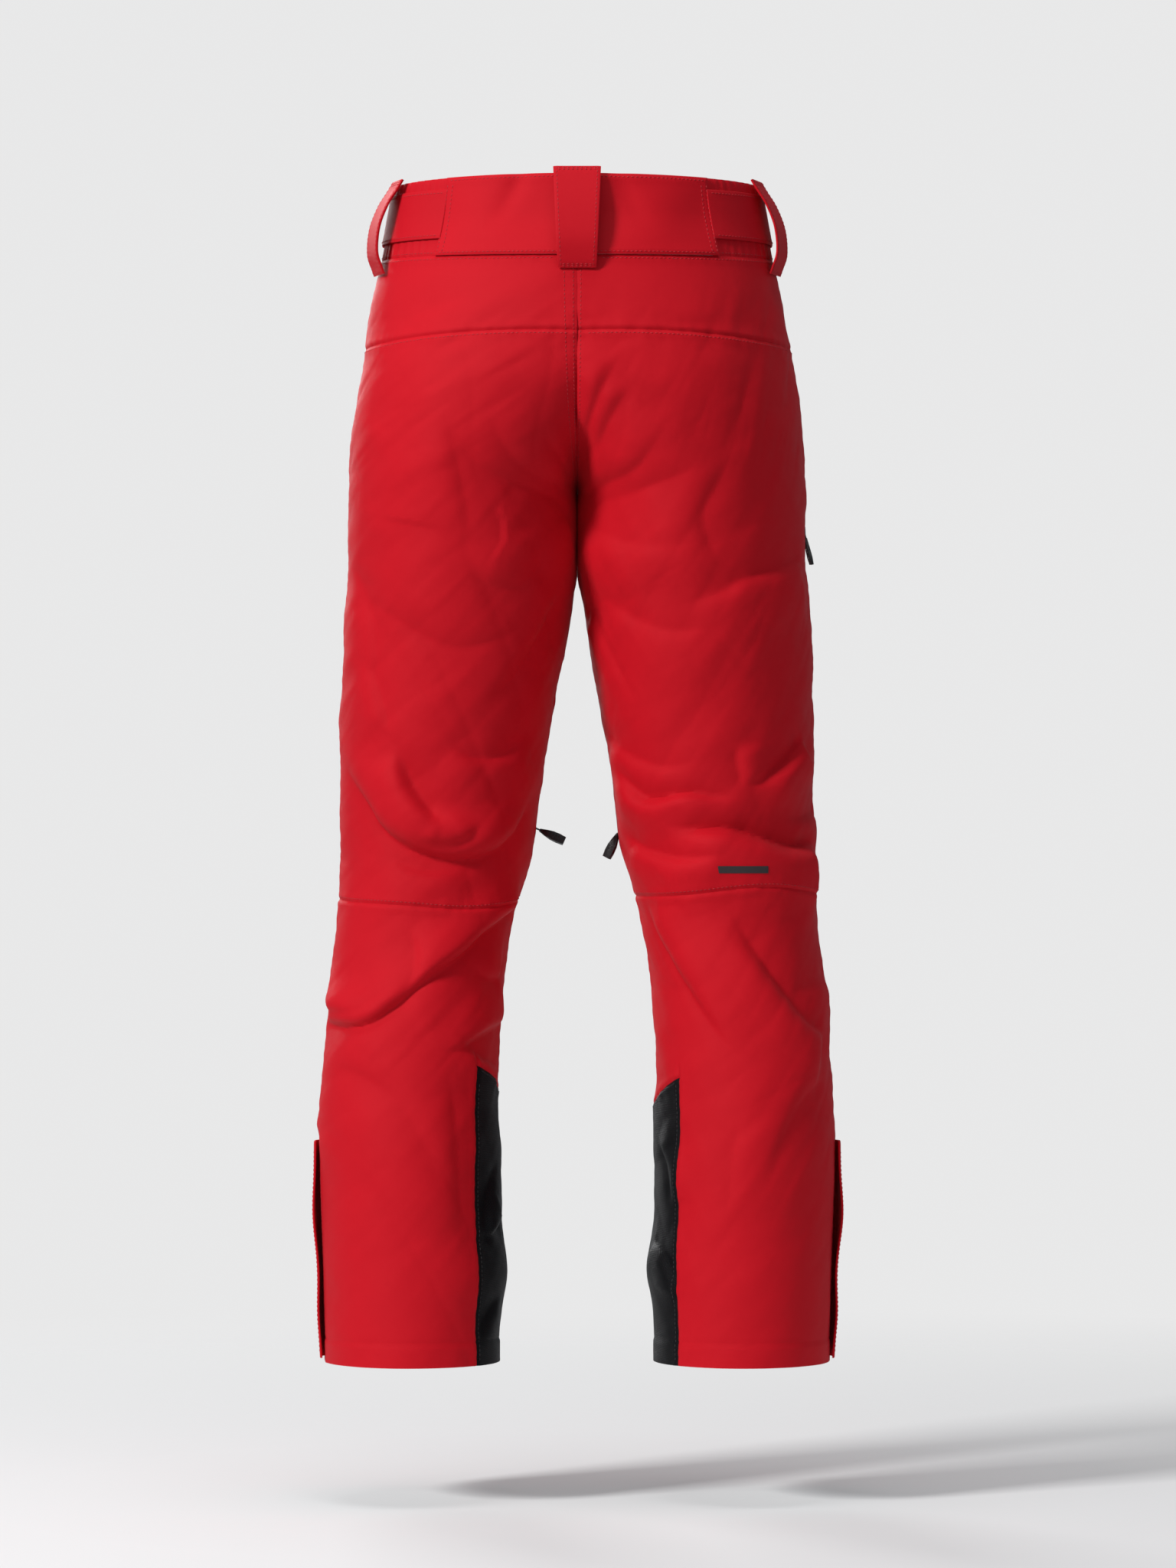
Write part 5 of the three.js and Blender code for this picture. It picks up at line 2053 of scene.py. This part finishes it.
@dataclass
class Pockets:
    """The cargo pocket on the right thigh and the hand pockets' bags."""

    kit: Kit
    cargo: tuple[float, float, float, float] = (-76 * DEG, -25 * DEG, 596, 772)

    def cargo_lift(self, angle: np.ndarray, height: np.ndarray) -> np.ndarray:
        """How the padded pocket stands off the thigh.

        Args:
            angle: Angles round the leg.
            height: Heights above the hem.

        Returns:
            The lift off the skin at each point.
        """
        start, end, low, high = self.cargo
        across = np.sin(np.clip((angle - start) / (end - start), 0, 1) * math.pi)
        up = np.sin(np.clip((height - low) / (high - low), 0, 1) * math.pi)
        soft = np.sqrt(np.maximum(0, across * up))
        edge = np.minimum(np.minimum(angle - start, end - angle) * 108, np.minimum(height - low, high - height))
        pleat = -0.9 * bump(edge, 9, 1.6)
        return 2.9 + 4.6 * soft - 1.2 * np.exp(-edge / 1.6) + pleat + 0.5 * np.sin(height * 0.08 + angle * 5) * soft

    def build(self) -> None:
        """Makes the cargo pocket, its stitches and both pocket bags."""
        kit = self.kit
        start, end, low, high = self.cargo
        rails, levels = (upright(start), upright(end)), (level(low), level(high))
        obj = Patch(kit.form, rails, levels, self.cargo_lift, 2.8).mesh("cargo_pocket_cloth", Side.RIGHT)
        thicken(obj, 2.2, True)
        kit.place(obj, "pants", "shell_fabric", ["cargo_pocket"], kit.finish.shell, kit.finish.lining)
        t = np.linspace(0.02, 0.98, 90)
        for off in (2.6, 12.0):
            inset = off / 108
            for angle, height in (
                (np.full_like(t, start + inset), low + off + t * (high - low - 2 * off)),
                (np.full_like(t, end - inset), low + off + t * (high - low - 2 * off)),
                (start + inset + t * (end - start - 2 * inset), np.full_like(t, low + off)),
                (start + inset + t * (end - start - 2 * inset), np.full_like(t, high - off)),
            ):
                kit.needle.sew(*on_skin(kit.form, Side.RIGHT, self.cargo_lift, angle, height))
        kit.place(kit.needle.finish("cargo_topstitch", kit.finish.thread), "pants", "shell_fabric", [])
        for side in Side:
            sag: Field = lambda a, h: -10.6 + 0.5 * np.sin(h * 0.09) * np.sin(a * 9)
            rails, levels = (upright(-74 * DEG), upright(-26 * DEG)), (level(795), level(975))
            obj = Patch(kit.form, rails, levels, sag, 5.0, False).mesh(f"pocket_bag_cloth_{side.word}", side)
            thicken(obj, 1.6, True)
            kit.place(obj, "pants", "lining", [f"pocket_bag_{side.word}"], kit.finish.lining, kit.finish.lining)


@dataclass
class Ankles:
    """The storm flaps over the ankle zips and the snow gaiters inside."""

    kit: Kit
    hinge: float = -12 * DEG
    free: float = 9 * DEG
    top: float = 200

    def flap_lift(self, side: Side) -> Field:
        """How the storm flap waves off the leg.

        Args:
            side: Which half.

        Returns:
            The lift, read at angles and heights.
        """
        wide = 1.12 if side is Side.RIGHT else 0.8

        def lift(angle: np.ndarray, height: np.ndarray) -> np.ndarray:
            """Reads the lift at each point.

            Args:
                angle: Angles round the leg.
                height: Heights above the hem.

            Returns:
                The lift off the skin at each point.
            """
            share = (angle - self.hinge) / (self.free - self.hinge)
            wave = 4.6 * bump(height, 132, 34) + 2.2 * bump(height, 44, 26)
            edge = np.minimum(self.top - height, (self.free - angle) * 84)
            base = 0.8 + 2.6 * smooth(share, 0, 0.4) + wide * wave * share**2
            return base + STRAP - 0.4 * np.exp(-edge / 1.3)

        return lift

    def build(self) -> None:
        """Makes the flaps and gaiters of both legs."""
        kit = self.kit
        for side in Side:
            word, lift = side.word, self.flap_lift(side)
            rails, levels = (upright(self.hinge), upright(self.free)), (level(3), level(self.top))
            obj = Patch(kit.form, rails, levels, lift, 2.4).mesh(f"ankle_flap_cloth_{word}", side)
            thicken(obj, STRAP - 0.1, True)
            body = f"ankle_flap_{word}"
            kit.place(obj, body, "shell_fabric", [body], kit.finish.shell, kit.finish.shell)
            t = np.linspace(0.02, 0.98, 120)
            angle = np.full_like(t, self.free - 3 / 84)
            kit.needle.sew(*on_skin(kit.form, side, lift, angle, 4 + t * 194))
            kit.needle.sew(*on_skin(kit.form, side, lift, np.full_like(t, self.hinge + 3 / 84), 4 + t * 194))
            kit.place(kit.needle.finish(f"ankle_flap_topstitch_{word}", kit.finish.thread), body, "shell_fabric", [])
            self.gaiter(side)

    def gaiter(self, side: Side) -> None:
        """Makes one inner cuff, gathered at its elastic hem.

        Args:
            side: Which half.
        """
        kit = self.kit

        def lift(angle: np.ndarray, height: np.ndarray) -> np.ndarray:
            """Reads the lift at each point.

            Args:
                angle: Angles round the leg.
                height: Heights above the hem.

            Returns:
                The lift off the skin at each point.
            """
            narrow = 17 - 9.5 * smooth(height, 8, 134)
            gather = 0.9 * np.sin(angle * 34) * (0.3 + 0.7 * bump(height, 30, 16)) * smooth(height, 168, 120)
            band = 0.8 * bump(height, 14, 3) + 0.8 * bump(height, 22, 3)
            return -narrow + gather + band

        rails = (upright(-math.pi), upright(0.0), upright(math.pi))
        patch = Patch(kit.form, rails, (level(8), level(168)), lift, 2.9, False)
        obj = patch.mesh(f"gaiter_cloth_{side.word}", side)
        work = bmesh.new()
        work.from_mesh(obj.data)
        bmesh.ops.remove_doubles(work, verts=work.verts, dist=0.0002)
        work.to_mesh(obj.data)
        work.free()
        thicken(obj, 1.3)
        kit.place(obj, "pants", "gaiter_fabric", [f"gaiter_{side.word}"], kit.finish.gaiter, kit.finish.gaiter)


# ---- Studio ----


@dataclass
class Studio:
    """The camera, the lights and the pale sweep."""

    distance: float = 6.0
    eye: float = -0.536
    floor: float = -1.163
    room: float = 0.24

    def build(self) -> None:
        """Sets up the whole studio."""
        self.camera()
        self.floor_disc()
        self.backdrop()
        self.lights()

    def camera(self) -> None:
        """Puts the camera behind the wearer, level with the knees."""
        data = bpy.data.cameras.new("camera")
        data.lens = 36 * self.distance / 1.434
        data.clip_end = 60
        obj = bpy.data.objects.new("camera", data)
        obj.location = (-0.0098, self.distance, self.eye)
        obj.rotation_euler = (math.pi / 2, 0, math.pi)
        data.shift_y = (-0.511 - self.eye) / 1.434
        bpy.context.scene.collection.objects.link(obj)
        bpy.context.scene.camera = obj

    def floor_disc(self) -> None:
        """Makes the pale floor, which fades out into the backdrop."""
        bpy.ops.object.select_all(action="DESELECT")
        bpy.ops.mesh.primitive_circle_add(vertices=96, radius=3, fill_type="NGON", location=(0, 0, self.floor))
        obj = bpy.context.object
        obj.name = "studio_floor"
        bpy.ops.object.transform_apply()
        g = Graph("studio_paper")
        place = g.node("ShaderNodeTexCoord").outputs["Object"]
        tone = g.noise(place, 0.6, 1.0)
        g.feed(g.shader, "Base Color", g.mix(tone, rgba((0.74, 0.74, 0.74)), rgba((0.76, 0.76, 0.76))))
        g.shader.inputs["Roughness"].default_value = 0.9
        g.shader.inputs["Specular IOR Level"].default_value = 0.1
        flat = g.node("ShaderNodeVectorMath", {"operation": "MULTIPLY"}, {0: place, 1: (1, 1, 0)})
        far = g.wire(g.node("ShaderNodeVectorMath", {"operation": "LENGTH"}, {0: flat.outputs[0]}), "Value")
        fade = ((far - 0.55) / 1.7).clamped()
        clear = g.node("ShaderNodeBsdfTransparent")
        both = g.node("ShaderNodeMixShader", None, {0: fade, 1: g.shader.outputs[0], 2: clear.outputs[0]})
        g.tree.links.new(both.outputs[0], g.tree.nodes["Material Output"].inputs[0])
        dress(obj, g.material)

    def backdrop(self) -> None:
        """Sets the room's light: a pale backdrop that throws only a little light on the cloth."""
        world = bpy.data.worlds.new("room")
        world.use_nodes = True
        tree = world.node_tree
        tree.nodes["Background"].inputs[0].default_value = (0.9, 0.94, 1.0, 1)
        tree.nodes["Background"].inputs[1].default_value = self.room
        seen = tree.nodes.new("ShaderNodeBackground")
        seen.inputs[0].default_value = (0.81, 0.81, 0.812, 1)
        ray = tree.nodes.new("ShaderNodeLightPath")
        mix = tree.nodes.new("ShaderNodeMixShader")
        tree.links.new(ray.outputs["Is Camera Ray"], mix.inputs[0])
        tree.links.new(tree.nodes["Background"].outputs[0], mix.inputs[1])
        tree.links.new(seen.outputs[0], mix.inputs[2])
        tree.links.new(mix.outputs[0], tree.nodes["World Output"].inputs[0])
        bpy.context.scene.world = world

    def lights(self) -> None:
        """Hangs the soft lights."""
        for name, place, size, power in (
            ("key", (3.0, 2.6, 2.0), 0.9, 185),
            ("fill", (-2.6, 4.8, 0.3), 2.2, 24),
            ("front_fill", (1.6, -4.6, 1.2), 2.0, 120),
            ("top", (0.2, 0.4, 3.0), 1.4, 36),
        ):
            data = bpy.data.lights.new(name, "AREA")
            data.energy, data.size = power, size
            obj = bpy.data.objects.new(name, data)
            obj.location = place
            aim = Vector((0, 0, -0.5)) - obj.location
            obj.rotation_euler = aim.to_track_quat("-Z", "Y").to_euler()
            bpy.context.scene.collection.objects.link(obj)
        bpy.context.scene.view_settings.view_transform = "Standard"


def main() -> None:
    """Builds every assembly in order; each piece's triangle count is logged as it is placed."""
    logging.basicConfig(level=logging.INFO, format="%(name)s: %(message)s")
    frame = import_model()
    bpy.ops.object.select_all(action="DESELECT")
    Studio().build()
    form = Form()
    joints = {joint["name"]: joint for joint in frame["joints"]}
    kit = Kit(form, Wardrobe(), {side: Drape(form, side) for side in Side}, Needle(), joints)
    Shell(kit).build()
    Waistband(kit).build()
    for loop in belt_loops(kit):
        loop.build()
    for item in zips(kit):
        item.build()
    Fly(kit).build()
    Pockets(kit).build()
    Ankles(kit).build()


if __name__ == "__main__":
    main()
